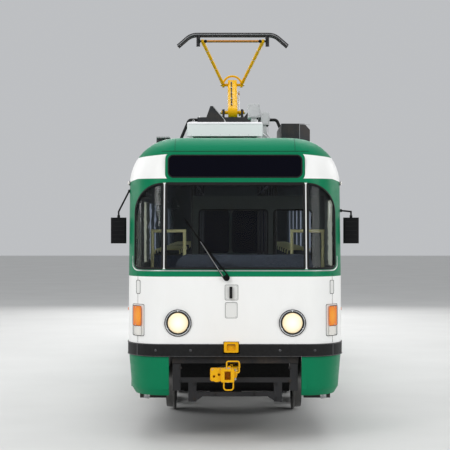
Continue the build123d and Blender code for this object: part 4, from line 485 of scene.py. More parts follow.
def bolt(bm, p, n, r, h, mat=0):
    """Hexagon head on a washer."""
    lathe(bm, [(r * 1.5, 0), (r * 1.5, h * 0.25), (r * 1.3, h * 0.32)], p, n, 16, mat)
    lathe(bm, [(r, h * 0.25), (r, h), (r * 0.82, h * 1.25)], p, n, 6, mat, turn=0.3)


def corners(x, y, dx, dy):
    """The four places dx and dy from a middle."""
    return [(x + sx * dx, y + sy * dy) for sx in SIDES for sy in SIDES]


def bolt_ring(bm, centre, plane, radius, count, turn, n, r, h, mat):
    """Bolts on a circle in the plane of two axes, given by their numbers."""
    for k in range(count):
        a = k * math.tau / count + turn
        p = list(centre)
        p[plane[0]] += radius * math.cos(a)
        p[plane[1]] += radius * math.sin(a)
        bolt(bm, p, n, r, h, mat)


def coil(bm, start, end, big_r, wire_r, turns, mat=0, per_turn=20, sides=8):
    """Helical spring with flat end turns."""
    start, end = Vector(start), Vector(end)
    axis, u, v = basis(end - start)
    length, big_r, wire = (end - start).length, big_r / 1000, wire_r / 1000
    pts = []
    for i in range(int(turns * per_turn) + 1):
        k = i / per_turn
        rise = max(0.0, min(1.0, (k - 0.75) / (turns - 1.5)))
        a = k * math.tau
        pts.append(start + axis * (wire + rise * (length - 2 * wire))
                   + (u * math.cos(a) + v * math.sin(a)) * big_r)
    tube(bm, pts, wire_r, sides, mat)


def rounded(corners, radii, step=0.03, arc=6):
    """Closed outline in a plane with rounded corners, its straights divided."""
    n = len(corners)
    pts = []
    for i in range(n):
        p, a, b = (Vector(corners[j % n]) for j in (i, i - 1, i + 1))
        r = radii if isinstance(radii, float) else radii[i]
        da, db = (a - p).normalized(), (b - p).normalized()
        half = da.angle(db) / 2
        cut = r / math.tan(half)
        centre = p + (da + db).normalized() * (r / math.sin(half))
        s, e = p + da * cut - centre, p + db * cut - centre
        whole = s.angle(e)
        for k in range(arc + 1):
            t = k / arc
            pts.append(centre + (math.sin((1 - t) * whole) * s + math.sin(t * whole) * e) / math.sin(whole))
    out = []
    for a, b in zip(pts, pts[1:] + pts[:1]):
        m = max(1, int((b - a).length / step))
        out += [a.lerp(b, k / m) for k in range(m)]
    return out


def rect(x0, x1, z0, z1):
    return [(x0, z0), (x1, z0), (x1, z1), (x0, z1)]


def pane(x0, x1, z0, z1, radii, step=0.03, arc=6):
    """Rounded rectangle."""
    return rounded(rect(x0, x1, z0, z1), radii, step, arc)


def bend(pts, r, steps=5):
    """Path through the points with its corners rounded."""
    pts = [Vector(p) for p in pts]
    out = [pts[0]]
    for a, p, b in zip(pts, pts[1:], pts[2:]):
        da, db = (a - p), (b - p)
        cut = min(r, da.length * 0.45, db.length * 0.45)
        s, e = p + da.normalized() * cut, p + db.normalized() * cut
        for k in range(steps + 1):
            t = k / steps
            out.append((1 - t) ** 2 * s + 2 * t * (1 - t) * p + t * t * e)
    out.append(pts[-1])
    return out


def strip(bm, pts, ups, section, closed=False, mat=0):
    """Section of (across, up) points carried along a path; ups is one normal, or one for each point."""
    if not isinstance(ups, list):
        ups = [Vector(ups)] * len(pts)
    rings = []
    for i, (p, up) in enumerate(zip(pts, ups)):
        side = heading(pts, i, closed).cross(up).normalized()
        rings.append([bm.verts.new(p + side * (s / 1000) + up * (h / 1000)) for s, h in section])
    skin(bm, rings, mat, closed)


def mirrored(pts):
    return [Vector((-p.x, p.y, p.z)) for p in reversed(pts)]


def half_round(width, height, sink=2):
    """Domed section of a rubber or trim strip."""
    w = width / 2
    return [(-w, -sink), (-w, height * 0.45), (-w * 0.55, height * 0.9), (0, height), (w * 0.55, height * 0.9),
            (w, height * 0.45), (w, -sink)]


def flat(w, sink, height):
    """Flat section, w to either side."""
    return [(-w, -sink), (-w, height), (w, height), (w, -sink)]


def chamfered(w, edge, low, height):
    """Low section with bevelled edges."""
    return [(-w, -2), (-w, low), (-edge, height), (edge, height), (w, low), (w, -2)]


def front_run(z, proud, back, end):
    """Path round one end at a height: points and their outward normals, from one side to the other."""
    count = 14
    setback, spread, half = section(z)
    cx, cy = half - spread, HALF_LENGTH - setback - spread * CORNER_STRETCH
    left = [(Vector((-half, -back, z)), Vector((-1, 0, 0)))]
    for k in range(count + 1):
        a = k / count * math.pi / 2
        n = Vector((-math.cos(a) * CORNER_STRETCH, -math.sin(a), 0)).normalized()
        left.append((Vector((-cx - spread * math.cos(a), -cy - spread * CORNER_STRETCH * math.sin(a), z)), n))
    both = left + [(Vector((-p.x, p.y, z)), Vector((-n.x, n.y, 0))) for p, n in reversed(left)]
    return [at_end(p + n * proud, end) for p, n in both], [at_end(n, end) for p, n in both]


# ---------------------------------------------------------------- pieces
def add_piece(name, bm, mats, body, angle, bevel=0.0, replaces=()):
    """Make an object of a mesh, let it ride on a body and say its material slot."""
    me = bpy.data.meshes.new(name)
    bm.normal_update()
    bm.to_mesh(me)
    bm.free()
    for m in mats.split():
        me.materials.append(MAT[m])
    for p in me.polygons:
        p.use_smooth = True
    me.set_sharp_from_angle(angle=math.radians(angle))
    ob = bpy.data.objects.new(name, me)
    bpy.context.scene.collection.objects.link(ob)
    if bevel:
        mod = ob.modifiers.new("edge", "BEVEL")
        mod.width = bevel
        mod.segments = 2
        mod.limit_method = "ANGLE"
        mod.angle_limit = math.radians(max(angle, 32.0))
        mod.harden_normals = False
    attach(ob, body)
    if replaces:
        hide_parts(*replaces)
    return ob


def trim(name, bm, mats, node, angle=40, bevel=0.0, body=None):
    """Add detail riding on a node's body, with the materials given."""
    bmesh.ops.recalc_face_normals(bm, faces=bm.faces)
    return add_piece(name, bm, mats, body or BODY_OF[node], angle, bevel)


# pins turned a little thinner, so their facets stay clear of the bores': y, z and reach of the axis
FITS = {"panto_lower_arm": ((-2.0, 3.66, 0.0262), (-0.78797, 4.13011, 0.0222))}
THINNER = 0.0007


def node_mesh(node):
    """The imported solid's mesh, joined across its faces."""
    bm = bmesh.new()
    bm.from_mesh(frame["nodes"][node].data)
    for layer in list(bm.loops.layers.uv):
        bm.loops.layers.uv.remove(layer)
    bmesh.ops.remove_doubles(bm, verts=bm.verts, dist=0.00003)
    bmesh.ops.dissolve_degenerate(bm, edges=bm.edges, dist=0.00001)
    bmesh.ops.dissolve_limit(bm, angle_limit=math.radians(0.6), verts=bm.verts, edges=bm.edges)
    for y, z, r in FITS.get(node, ()):
        for v in bm.verts:
            d = math.hypot(v.co.y - y, v.co.z - z)
            if abs(v.co.x) > 0.07 and 0.01 < d < r:
                v.co.y = y + (v.co.y - y) * (1 - THINNER / d)
                v.co.z = z + (v.co.z - z) * (1 - THINNER / d)
    return bm


def islands(bm):
    """Groups of faces that hang together."""
    seen, out = set(), []
    for f in bm.faces:
        if f in seen:
            continue
        stack, group = [f], []
        seen.add(f)
        while stack:
            g = stack.pop()
            group.append(g)
            for h in (h for e in g.edges for h in e.link_faces if h not in seen):
                seen.add(h)
                stack.append(h)
        out.append(group)
    return out


# which faces of a node are painted with its second material
SHELL = ("front_mask", "rear_mask", "roof", "side_left", "side_right", "door")
SECOND = {"wheelset": "tread", "handrails": "rail_dark", "cab_desk": "inside", "panto_base": "ceramic",
          "front_plates": "rubber", "side_windows": "glass_in"}
CABIN_END, CABIN_Z = 5.8, 1.9           # the cabin's middle line, which lining faces turn to
TREAD_R, WHEEL_X = 0.345, 0.65
REVEAL_X, REVEAL_LOW, REVEAL_HIGH = 1.084, 1.7, 2.5
INSULATOR_LOW, INSULATOR_HIGH, INSULATOR_R = 3.118, 3.33, 0.06
KEY_SLOT_X, KEY_SLOT_LOW, KEY_SLOT_HIGH, KEY_SLOT_Y = -0.043, 1.42, 1.57, -6.98
LEG_X, LEGS = 0.43, (-2.23, -0.57)      # insulated legs of the pantograph's base


def is_second(kind, f):
    """Whether a face has its node's second material: lining, cabin side of a pane, tread and the like."""
    c = f.calc_center_median()
    if kind in SHELL:
        middle = Vector((0, max(-CABIN_END, min(CABIN_END, c.y)), CABIN_Z))
        inward = Vector((1, 0, 0)) if kind == "door" else (middle - c).normalized()
        reveal = kind == "door" or kind.startswith("side") and abs(c.x) < REVEAL_X and REVEAL_LOW < c.z < REVEAL_HIGH
        return f.normal.dot(inward) > 0.25 or reveal and abs(f.normal.x) < 0.5
    if kind == "side_windows":
        return f.normal.x * c.x < -0.5
    if kind == "wheelset":
        axle = min(AXLES, key=lambda y: abs(y - c.y))
        rim = min(math.hypot(v.co.y - axle, v.co.z - AXLE_Z) for v in f.verts)
        return abs(c.x) > WHEEL_X and rim > TREAD_R
    if kind == "cab_desk":
        return c.y > -5.6
    if kind == "panto_base":
        leg = min(math.hypot(abs(c.x) - LEG_X, c.y - y) for y in LEGS)
        return INSULATOR_LOW < c.z < INSULATOR_HIGH and leg < INSULATOR_R
    slot = abs(c.x - KEY_SLOT_X) < 0.04 and KEY_SLOT_LOW < c.z < KEY_SLOT_HIGH and c.y < KEY_SLOT_Y
    return kind == "front_plates" and slot


def paint_islands(bm, kind):
    """Glass of the door leaves, and the dark poles among the handrails."""
    for group in islands(bm):
        xs = [v.co.x for f in group for v in f.verts]
        lo, hi = min(xs), max(xs)
        for f in group:
            if kind == "door" and hi - lo < 0.012:
                f.material_index = 3 if f.normal.x > 0.5 else 2
            elif kind == "handrails" and min(abs(lo), abs(hi)) < 0.52 and hi - lo < 0.12:
                f.material_index = 1


def kind_of(node):
    for stem in ("bogie_frame", "motors", "track_brakes", "wheelset", "coupler", "door"):
        if node.startswith(stem):
            return stem
    return node


def dress(node, bevel):
    """A smooth copy of a node with softened edges, standing for it."""
    bm = node_mesh(node)
    kind = kind_of(node)
    mats = NODE_MAT[kind]
    bm.normal_update()
    if kind in SHELL:
        mats += " inside glass glass_in"
    elif kind in SECOND:
        mats += " " + SECOND[kind]
    for f in bm.faces:
        if is_second(kind, f):
            f.material_index = 1
    if kind in ("door", "handrails"):
        paint_islands(bm, kind)
    add_piece(node + "_skin", bm, mats, BODY_OF[node], 24.0, bevel, (node,))


BEVELS = {
    0.0: "side_windows windscreen rear_window", 0.002: "door",
    0.003: "wheelset coupler front_mask rear_mask panto_head socket_box",
    0.004: "display roof_unit resistor_box underfloor_boxes mirrors underframe skirts bumpers",
    0.006: "bogie_frame cab_desk", 0.008: "motors", 0.01: "seats",
}
BEVEL_OF = {kind: width for width, kinds in BEVELS.items() for kind in kinds.split()}
for node in frame["nodes"]:
    dress(node, BEVEL_OF.get(kind_of(node), 0.0015))


# ---------------------------------------------------------------- front details
def spot(x, z, rise=0.0, end=-1):
    """Place and normal on the front, or on the rear where end is 1."""
    return at_end(front_point(x, z, rise), end), at_end(front_normal(x, z), end)


def on_front(bm, outline, section_pts, closed=True, rise=0.0, end=-1):
    """Strip carried along an outline of x and z on the curved front, or on the rear."""
    places, ups = zip(*[spot(p.x, p.y, rise, end) for p in map(Vector, outline)])
    strip(bm, places, list(ups), section_pts, closed)


# rubber round the three panes, and a pale trim under them
bm = bmesh.new()
PANE_EDGE = 0.004
for x0, x1, radii in (
    (-1.028, -0.7325, (0.05, 0.012, 0.012, 0.29)),
    (-0.7055, 0.7055, 0.012),
    (0.7325, 1.028, (0.012, 0.05, 0.29, 0.012)),
):
    line = pane(x0 + PANE_EDGE, x1 - PANE_EDGE, 1.733 + PANE_EDGE, 2.6 - PANE_EDGE, radii, 0.03, 12)
    on_front(bm, line, half_round(22, 7, 6))
on_front(bm, [(k * 0.05 - 0.7, 2.594) for k in range(29)], half_round(34, 8, 6), False)
trim("screen_rubber", bm, "rubber", "bumpers", 50)

bm = bmesh.new()
left = [(-1.045, 1.86 - k * 0.02) for k in range(5)]
for k in range(9):
    a = math.pi + k / 8 * math.pi / 2
    left.append((-0.985 + 0.06 * math.cos(a), 1.775 + 0.06 * math.sin(a)))
sill = [(-0.95 + k * 0.05, 1.715) for k in range(39)]
on_front(bm, left + sill + [(-x, z) for x, z in reversed(left)], half_round(12, 5, 3), False)
trim("screen_trim", bm, "bright", "headlight_rims", 50)

bm = bmesh.new()
line = pane(-0.68, 0.68, 2.662, 2.886, 0.052, 0.05, 8)
strip(bm, lay(line, 1, -6.7995), (0, -1, 0), half_round(14, 4, 6), True)
trim("display_rubber", bm, "rubber", "bumpers", 50)

# seams of the front panels and dome
bm = bmesh.new()
SEAM = flat(1.5, 1, 1.2)
for s in SIDES:
    on_front(bm, [(s * 0.988, 0.985 + k * 0.05) for k in range(15)], SEAM, False)
    on_front(bm, [(s * 0.614, 2.935 + k * 0.012) for k in range(12)], SEAM, False)
on_front(bm, [(-0.75 + k * 0.05, 2.93) for k in range(31)], flat(2, 1, 2), False)
trim("front_seams", bm, "grille", "bumpers", 60)

# headlamps: dark rings, fluted glass, screws and a clamp
bm = bmesh.new()
OUT = (0, -1, 0)
GLASS_R, GLASS_SIDES = 0.1015, 96
for s in SIDES:
    c = Vector((s * LAMP_X, -6.9958, LAMP_Z))
    lathe(bm, [(102.5, -12), (102.5, 1), (110, 3.5), (118.5, 1), (118.5, -4)], c, OUT, 64,
          closed=False)
    lathe(bm, [(131, 0), (131, 3), (134.5, 4.5), (136.5, 1), (136.5, -10)], c, OUT, 64,
          closed=False)
    rings = []
    for i in range(11):
        a = i / 11 * math.pi / 2
        r, h = GLASS_R * math.cos(a), -0.0045 + 0.016 * math.sin(a)
        rings.append([])
        for k in range(GLASS_SIDES):
            t = k * math.tau / GLASS_SIDES
            x, z = r * math.cos(t), r * math.sin(t)
            flute = 0.0012 * (0.5 + 0.5 * math.cos(x * 420)) * min(1.0, (GLASS_R - r) / 0.012)
            rings[-1].append(bm.verts.new(c + Vector((x, -(h + flute), z))))
    rings.append([bm.verts.new(c + Vector((0, 0.0045 - 0.016, 0)))])
    skin(bm, rings, 2, caps=False)
    for k in range(3):
        t = math.radians(90 + 120 * k)
        p = c + Vector((0.12 * math.cos(t), -0.002, 0.12 * math.sin(t)))
        lathe(bm, [(6, 0), (6, 2.5), (4, 4), (0, 4.5)], p, OUT, 16, 1)
    block(bm, (c.x - 0.012, c.y - 0.005, c.z + 0.127), (c.x + 0.012, c.y - 0.0005, c.z + 0.141), 1)
trim("headlamp_details", bm, "rubber chrome headlamp", "headlight_rims")

# rubber beds and screws of the corner lamps, and plate edges
bm = bmesh.new()
BED_GAP = 0.002


def bed(bm, cx, w, cz, h, radius, steps, section_pts, rise=0.0):
    w, h = w / 2 + BED_GAP, h / 2 + BED_GAP
    on_front(bm, pane(cx - w, cx + w, cz - h, cz + h, radius, *steps), section_pts, rise=rise)


for s in SIDES:
    for cx, w, cz, h, rise in ((0.994, 0.086, 1.256, 0.196, 0.006), (0.988, 0.074, 1.106, 0.092, 0.006),
                               (0.984, 0.036, 1.547, 0.132, 0.0), (0.982, 0.118, 1.2135, 0.313, 0.0)):
        bed(bm, s * cx, w, cz, h, 0.012, (0.02, 5), flat(3, 8, 1.5), rise)
    for cz in (1.168, 1.344, 1.07, 1.142):
        lathe(bm, [(5, -1), (5, 1), (0, 2.5)], *spot(s * 0.992, cz, 0.024), 12, 1)
for cx, w, cz, h in ((-0.037, 0.127, 1.496, 0.148), (-0.04, 0.116, 1.317, 0.151)):
    bed(bm, cx, w, cz, h, 0.01, (0.03, 4), flat(2, 2, 1.5))
    for px, pz in corners(cx, cz, w / 2 - 0.011, h / 2 - 0.011):
        lathe(bm, [(4, 0), (4, 1.2), (0, 2.2)], *spot(px, pz, 0.006), 12, 1)
trim("lamp_beds", bm, "rubber bright", "bumpers")

# bumper edge strips, the joint covers at its corners and studs
bm = bmesh.new()
BUMPER_Z = 0.915
for end in SIDES:
    for z in (0.8555, 0.9735):
        strip(bm, *front_run(z, 0.008, 6.245, end), half_round(8, 4.5))
    for x in (-0.985, 0.985, -0.8, -0.45, 0.45, 0.8):
        p, n = spot(x, BUMPER_Z, 0.008, end)
        if abs(x) > 0.9:
            strip(bm, [p + UP * (k * 0.02 - 0.056) for k in range(7)], n, flat(9, 2, 3))
        else:
            lathe(bm, [(16, -2), (16, 1), (12, 5), (0, 7)], p, n, 20, 1)
trim("bumper_strips", bm, "bumper_edge dark_ring", "bumpers")

# pale studs at the shoulders
bm = bmesh.new()
for sx in SIDES:
    for sy in SIDES:
        p = (sx * 1.099, sy * 6.38, 2.612)
        lathe(bm, [(18, -4), (18, 6), (15, 14), (8, 19), (0, 20.5)], p, (sx, 0, 0), 24)
        lathe(bm, [(24, -2), (24, 3), (19, 4)], p, (sx, 0, 0), 24, 1)
trim("shoulder_lamps", bm, "clear rubber", "clear_lamps")

# wiper: twin rods, one of them bright steel as a painted highlight on the black arm, blade lip, clips and hub nut,
# all on the wiper
LEAN, PARKED = 160 / 910, math.radians(35)
up_s = Vector((0, LEAN, 1)).normalized()
n_s = Vector((0, -1, LEAN)).normalized()
reach_d = (Vector((-1, 0, 0)) * math.sin(PARKED) + up_s * math.cos(PARKED)).normalized()
side_d = (Vector((1, 0, 0)) * math.cos(PARKED) + up_s * math.sin(PARKED)).normalized()
HUB_X, HUB_Z = -0.087, 1.639
hub = Vector((HUB_X, -(HALF_LENGTH - BELT_SETBACK - (HUB_Z - BELT_Z) * LEAN), HUB_Z))


def wp(s, r, h):
    """Point of the wiper: across the arm, along it and above the glass."""
    return hub + side_d * s + reach_d * r + n_s * h


def bar(bm, w, r0, r1, h, thick, mat):
    prism(bm, [wp(-w, r0, h), wp(w, r0, h), wp(w, r1, h), wp(-w, r1, h)], n_s * thick, mat)


bm = bmesh.new()
for s in SIDES:
    rod = [wp(s * w, r, 0.0325) for w, r in ((0.0215, 0.035), (0.006, 0.40), (0.004, 0.455))]
    # painted highlight: the rod where s is -1 is bright steel standing for light along it; the other is black wiper
    # paint
    tube(bm, rod, 3.2, 10, 0 if s < 0 else 2)
for r in (0.255, 0.475, 0.695):
    bar(bm, 0.009, r - 0.014, r + 0.014, 0.012, 0.016, 2)
bar(bm, 0.0025, 0.207, 0.743, -0.0125, 0.006, 1)
for sides, profile in ((6, [(11, 30), (11, 40), (8, 42.5)]),
                       (24, [(20, 30), (20, 32.5), (17, 33.5)]),
                       (16, [(6, 42.5), (6, 48), (0, 49.5)])):
    lathe(bm, profile, hub, n_s, sides, 2)
trim("wiper_details", bm, "bright rubber wiper", "wiper", 40, 0.0006)

# mirror glass, rims, back ribs and arm clamps
bm = bmesh.new()
MIRROR_Z, MIRROR_Y, ARM_Y = 2.119, -6.375, -6.4
for s in SIDES:
    cx = s * 1.212
    line = pane(cx - 0.072, cx + 0.072, MIRROR_Z - 0.126, MIRROR_Z + 0.126, 0.018, 0.05, 5)
    plate(bm, line, 1, MIRROR_Y - 0.002, 0.004)
    strip(bm, lay(line, 1, MIRROR_Y), (0, 1, 0), half_round(10, 5), True, 1)
    for dz in (-0.09, -0.045, 0.0, 0.045, 0.09):
        rib = [Vector((cx + k * 0.015 - 0.06, -6.4245, MIRROR_Z + dz)) for k in range(9)]
        strip(bm, rib, OUT, half_round(7, 3), False, 1)
    lathe(bm, [(13, 0), (15, 4), (15, 26), (13, 30)], (cx, ARM_Y, MIRROR_Z + 0.13), UP, 24, 1)
    top = 2.529 if s < 0 else 2.326
    for z in (top - 0.024, top + 0.024):
        lathe(bm, [(8, 0), (8, 4), (0, 6)], (s * 1.092, ARM_Y, z), (s, 0, 0), 12, 2)
trim("mirror_details", bm, "mirror rubber bright", "mirrors")


# ---------------------------------------------------------------- roof details
def roof_z(x):
    x = min(abs(x), 1.0999)
    return ROOF_Z if x <= SHOULDER_X else SHOULDER_Z + math.sqrt(SHOULDER_R ** 2 - (x - SHOULDER_X) ** 2)


def roof_arc(y):
    """Points and normals over the roof from one gutter to the other."""
    ups = []
    for k in range(13):
        a = math.radians(4 + k / 12 * 86)
        ups.append(Vector((-math.cos(a), 0, math.sin(a))))
    pts = [Vector((-SHOULDER_X, y, SHOULDER_Z)) + n * SHOULDER_R for n in ups]
    return [half + mirrored(half) for half in (pts, ups)]


bm = bmesh.new()
for k in range(9):
    strip(bm, *roof_arc(k * 1.56 - 6.24), chamfered(14, 10, 2, 3.5))
for s in SIDES:
    strip(bm, [Vector((s * 1.0985, k * 0.31 - 6.2, 2.606)) for k in range(41)], (s, 0, 0),
          [(-10, -2), (-12, 14), (-8, 18), (-4, 14), (-3, 4), (12, 0),
           (12, -2)])
trim("roof_seams_gutters", bm, "body", "roof", 50)

# walkway boards on brackets along the left of the roof, slats with gaps
bm = bmesh.new()
SLATS = (-0.815, -0.765, -0.715)
SLAT_LOW, SLAT_TOP = 3.105, 3.121
for x in SLATS:
    for y0, y1 in ((-6.0, -3.1), (-3.05, -0.1), (-0.05, 2.9), (2.95, 5.9)):
        block(bm, (x - 0.02, y0, SLAT_LOW), (x + 0.02, y1, SLAT_TOP))
y = -5.9
while y < 5.95:
    outer, inner = roof_z(0.84) - 0.004, roof_z(0.692) - 0.004
    plate(bm, [(-0.838, outer), (-0.838, SLAT_LOW), (-0.692, SLAT_LOW), (-0.692, inner)], 1, y - 0.02, 0.04, 1)
    for x in SLATS:
        lathe(bm, [(6, 0), (6, 3), (0, 5)], (x, y, SLAT_TOP), UP, 8, 1)
    y += 0.983
trim("roof_walkway", bm, "strip_grey dark_ring", "handrails", 40, 0.002)

# roof unit: side louvres, lid seam, end screws, lifting eyes, feet and fan guards
bm = bmesh.new()
X0, X1, Y0, Y1, ZT = -0.5265, 0.3185, -5.2, -4.3, 3.329
FAN_Y, FAN_R = -4.75, 0.095
for s, x in ((-1, X0), (1, X1)):
    for row in range(11):
        y = Y0 + 0.12 + row * 0.066
        plate(bm, rect(y, y + 0.05, 3.2, 3.285), 0, x, s * 0.002, 1)
        prism(bm, [(x, y + 0.004, 3.204), (x + s * 0.012, y + 0.004, 3.22), (x, y + 0.004, 3.28)], (0, 0.042, 0))
    block(bm, (x, Y0 + 0.02, 3.299), (x + s * 0.003, Y1 - 0.02, 3.304), 2)
for y, s in ((Y0, -1), (Y1, 1)):
    block(bm, (X0 + 0.02, y, 3.3005), (X1 - 0.02, y + s * 0.0015, 3.3025), 3)
    for k in range(8):
        x = X0 + 0.05 + k * (X1 - X0 - 0.1) / 7
        lathe(bm, [(4.5, 0), (4.5, 1.5), (0, 3)], (x, y, 3.184), (0, s, 0), 12, 3)
for x in (X0 + 0.07, X1 - 0.07):
    for y in (Y0 + 0.08, Y1 - 0.08):
        lathe(bm, [(14, -2), (14, 4), (10, 6)], (x, y, ZT), UP, 16, 3)
        turns = [k * math.tau / 16 for k in range(16)]
        tube(bm, [(x + 0.011 * math.cos(a), y, ZT + 0.016 + 0.011 * math.sin(a)) for a in turns], 3, 8, 3, True)
for x0, x1 in ((-0.56, -0.46), (0.26, 0.42)):
    for y in (-5.16, -4.36):
        block(bm, (x0, y - 0.03, 3.09), (x1, y + 0.03, 3.152))
for x in (-0.49, 0.282):
    for y in (-5.1, -4.75, -4.4):
        block(bm, (x - 0.055, y - 0.03, 3.0805), (x + 0.055, y + 0.03, 3.094), 3)
        for px in (x - 0.043, x + 0.043):
            bolt(bm, (px, y, 3.094), UP, 7, 6, 3)
for x in (-0.38, -0.105, 0.17):
    turns = [k * math.tau / 32 for k in range(32)]
    tube(bm, [(x + FAN_R * math.cos(a), FAN_Y + FAN_R * math.sin(a), ZT + 0.004) for a in turns], 4, 6, 2, True)
    for j in range(7):
        dy = -0.084 + j * 0.028
        w = math.sqrt(0.092 ** 2 - dy ** 2)
        tube(bm, [(x - w, FAN_Y + dy, ZT + 0.003), (x + w, FAN_Y + dy, ZT + 0.003)], 2.5, 6, 2)
trim("roof_unit_details", bm, "unit grille dark_ring bright", "roof_unit", 40, 0.0008)

# resistor box: top ribs, end louvres, edge angles, feet and terminals
bm = bmesh.new()
INSULATOR = [(20, 0), (20, 6), (12, 10), (22, 18), (12, 26), (22, 34), (10, 42),
             (6, 52), (0, 54)]
for k in range(24):
    y = -5.05 + k * 0.0595
    block(bm, (0.548, y, 3.3095), (0.735, y + 0.018, 3.319))
for y, s in ((-5.1985, -1), (-3.6015, 1)):
    for x in (0.55, 0.60, 0.65, 0.70):
        block(bm, (x, y, 3.125), (x + 0.024, y + s * 0.006, 3.29))
plate(bm, rect(0.7285, 0.7345, 3.106, 3.309), 1, -5.2005, -0.004, 1)
for z in (3.112, 3.3):
    plate(bm, [(0.729, -5.201), (0.853, -5.077), (0.8555, -5.0795), (0.7315, -5.2035)], 2, z, 0.006, 1)
for y in (-5.1, -4.6, -4.2, -3.75):
    block(bm, (0.54, y - 0.03, 3.0805), (0.64, y + 0.03, 3.092))
    for x in (0.555, 0.625):
        bolt(bm, (x, y, 3.092), UP, 7, 6, 1)
for k in range(3):
    lathe(bm, INSULATOR, (0.58 + 0.06 * k, -3.68, 3.311), UP, 20, 2)
trim("resistor_details", bm, "dark_box strip_grey ceramic", "resistor_box", 40, 0.0008)

# contactor boxes: lids, latches, glands and the cables down to the roof
bm = bmesh.new()
BOX_Y, LID_IN, BOLT_IN = -4.1, 0.012, 0.022
for x0, x1, z0, z1, length in ((0.172, 0.314, 3.453, 3.615, 0.35), (0.326, 0.426, 3.366, 3.516, 0.3)):
    plate(bm, pane(x0 + LID_IN, x1 - LID_IN, z0 + LID_IN, z1 - LID_IN, 0.012, 0.04, 4), 1, BOX_Y + 0.001, -0.006)
    for px in (x0 + BOLT_IN, x1 - BOLT_IN):
        for pz in (z0 + BOLT_IN, z1 - BOLT_IN):
            bolt(bm, (px, BOX_Y - 0.005, pz), OUT, 4.5, 4, 1)
    block(bm, (x0 + 0.01, BOX_Y + 0.02, z1 - 0.0005), (x1 - 0.01, BOX_Y + length - 0.02, z1 + 0.004))
    for py in (BOX_Y + 0.06, BOX_Y + length - 0.06):
        block(bm, (x1 - 0.001, py - 0.012, z0 + 0.06), (x1 + 0.006, py + 0.012, z0 + 0.1), 1)
    for k in range(2):
        lathe(bm, [(11, 0), (11, 12), (8, 14), (8, 22)],
              (x1 - 0.028, BOX_Y + 0.035 + 0.05 * k, z0), (0, 0, -1), 12, 2)
for pts in (
    [(0.286, -4.065, 3.44), (0.286, -4.065, 3.3), (0.33, -4.12, 3.2), (0.45, -4.15, 3.13), (0.5, -4.15, 3.083)],
    [(0.286, -4.015, 3.44), (0.286, -4.02, 3.32), (0.38, -4.14, 3.24), (0.47, -4.17, 3.15), (0.49, -4.17, 3.083)],
    [(0.398, -4.065, 3.352), (0.4, -4.08, 3.25), (0.46, -4.12, 3.18), (0.475, -4.12, 3.083)],
    [(0.398, -4.015, 3.352), (0.398, -4.0, 3.24), (0.43, -3.95, 3.16), (0.43, -3.95, 3.083)],
):
    tube(bm, bend(pts, 0.05), 5.5, 8, 3)
trim("roof_box_details", bm, "grey_box bright rubber unit", "roof_boxes", 40, 0.0006)

# ventilators along the middle of the roof
bm = bmesh.new()
for y in (0.6, 2.2, 3.8):
    lathe(bm, [(190, -3), (190, 30), (170, 38), (165, 60), (235, 64), (240, 75), (220, 100),
               (150, 125), (60, 135), (0, 137)], (0, y, ROOF_Z), UP, 48)
    bolt_ring(bm, (0, y, 3.11), (0, 1), 0.178, 8, 0, UP, 6, 5, 1)
trim("roof_ventilators", bm, "grey_box bright", "roof_boxes")


# ---------------------------------------------------------------- pantograph details
KNEE = Vector((0, -0.78797, 4.13011))
HEAD = Vector((0, -2.0, 4.60022))
PIVOT = Vector((0, -2.0, 3.66))
SPRING_Z = 3.605

# springs and their rods, bolts of the legs and frame, and the lead down to the roof
bm = bmesh.new()
for s in SIDES:
    x, leg = s * 0.2, s * LEG_X
    a, b = Vector((x, -0.5, SPRING_Z)), Vector((x, -1.42, SPRING_Z))
    coil(bm, a, b, 28, 5.5, 30, 0, 14, 6)
    tube(bm, [b + Vector((0, 0.02, 0)), (x, -1.975, SPRING_Z)], 8, 10)
    lathe(bm, [(30, 0), (30, 12), (20, 16), (8, 30)], b, OUT, 20)
    block(bm, (x - 0.035, -0.512, 3.57), (x + 0.035, -0.498, 3.64), 1)
    lathe(bm, [(13, 0), (13, 12), (10, 14)], (x, -1.6, SPRING_Z), OUT, 6)
    block(bm, (x - 0.02, -2.0, 3.57), (x + 0.02, -1.97, 3.63), 1)
    for y in LEGS:
        for px, py in corners(leg, y, 0.048, 0.048):
            bolt(bm, (px, py, 3.1003), UP, 9, 8)
        lathe(bm, [(34, 0), (34, 12), (29, 16)], (leg, y, 3.494), UP, 24)
    for y in (-2.32, -2.0, -0.48):
        bolt(bm, (leg, y, 3.575), UP, 12, 9)
    for z in (3.555, 3.61, 3.69):
        bolt(bm, (s * 0.1375, -2.03, z), (s, 0, 0), 8, 6)
tube(bm, bend([(-0.254, -2.354, 3.712), (-0.103, -2.356, 3.535), (-0.103, -2.356, 3.5)], 0.02), 6, 8)
lead = [(0.31, -2.354, 3.545), (0.355, -2.38, 3.5), (0.34, -2.42, 3.3), (0.3, -2.42, 3.12), (0.3, -2.42, 3.083)]
tube(bm, bend(lead, 0.06), 11, 10, 2)
lathe(bm, [(20, 0), (20, 10), (14, 16), (14, 30)], (0.3, -2.42, 3.079), UP, 16)
trim("panto_base_details", bm, "bright black rubber", "panto_base")

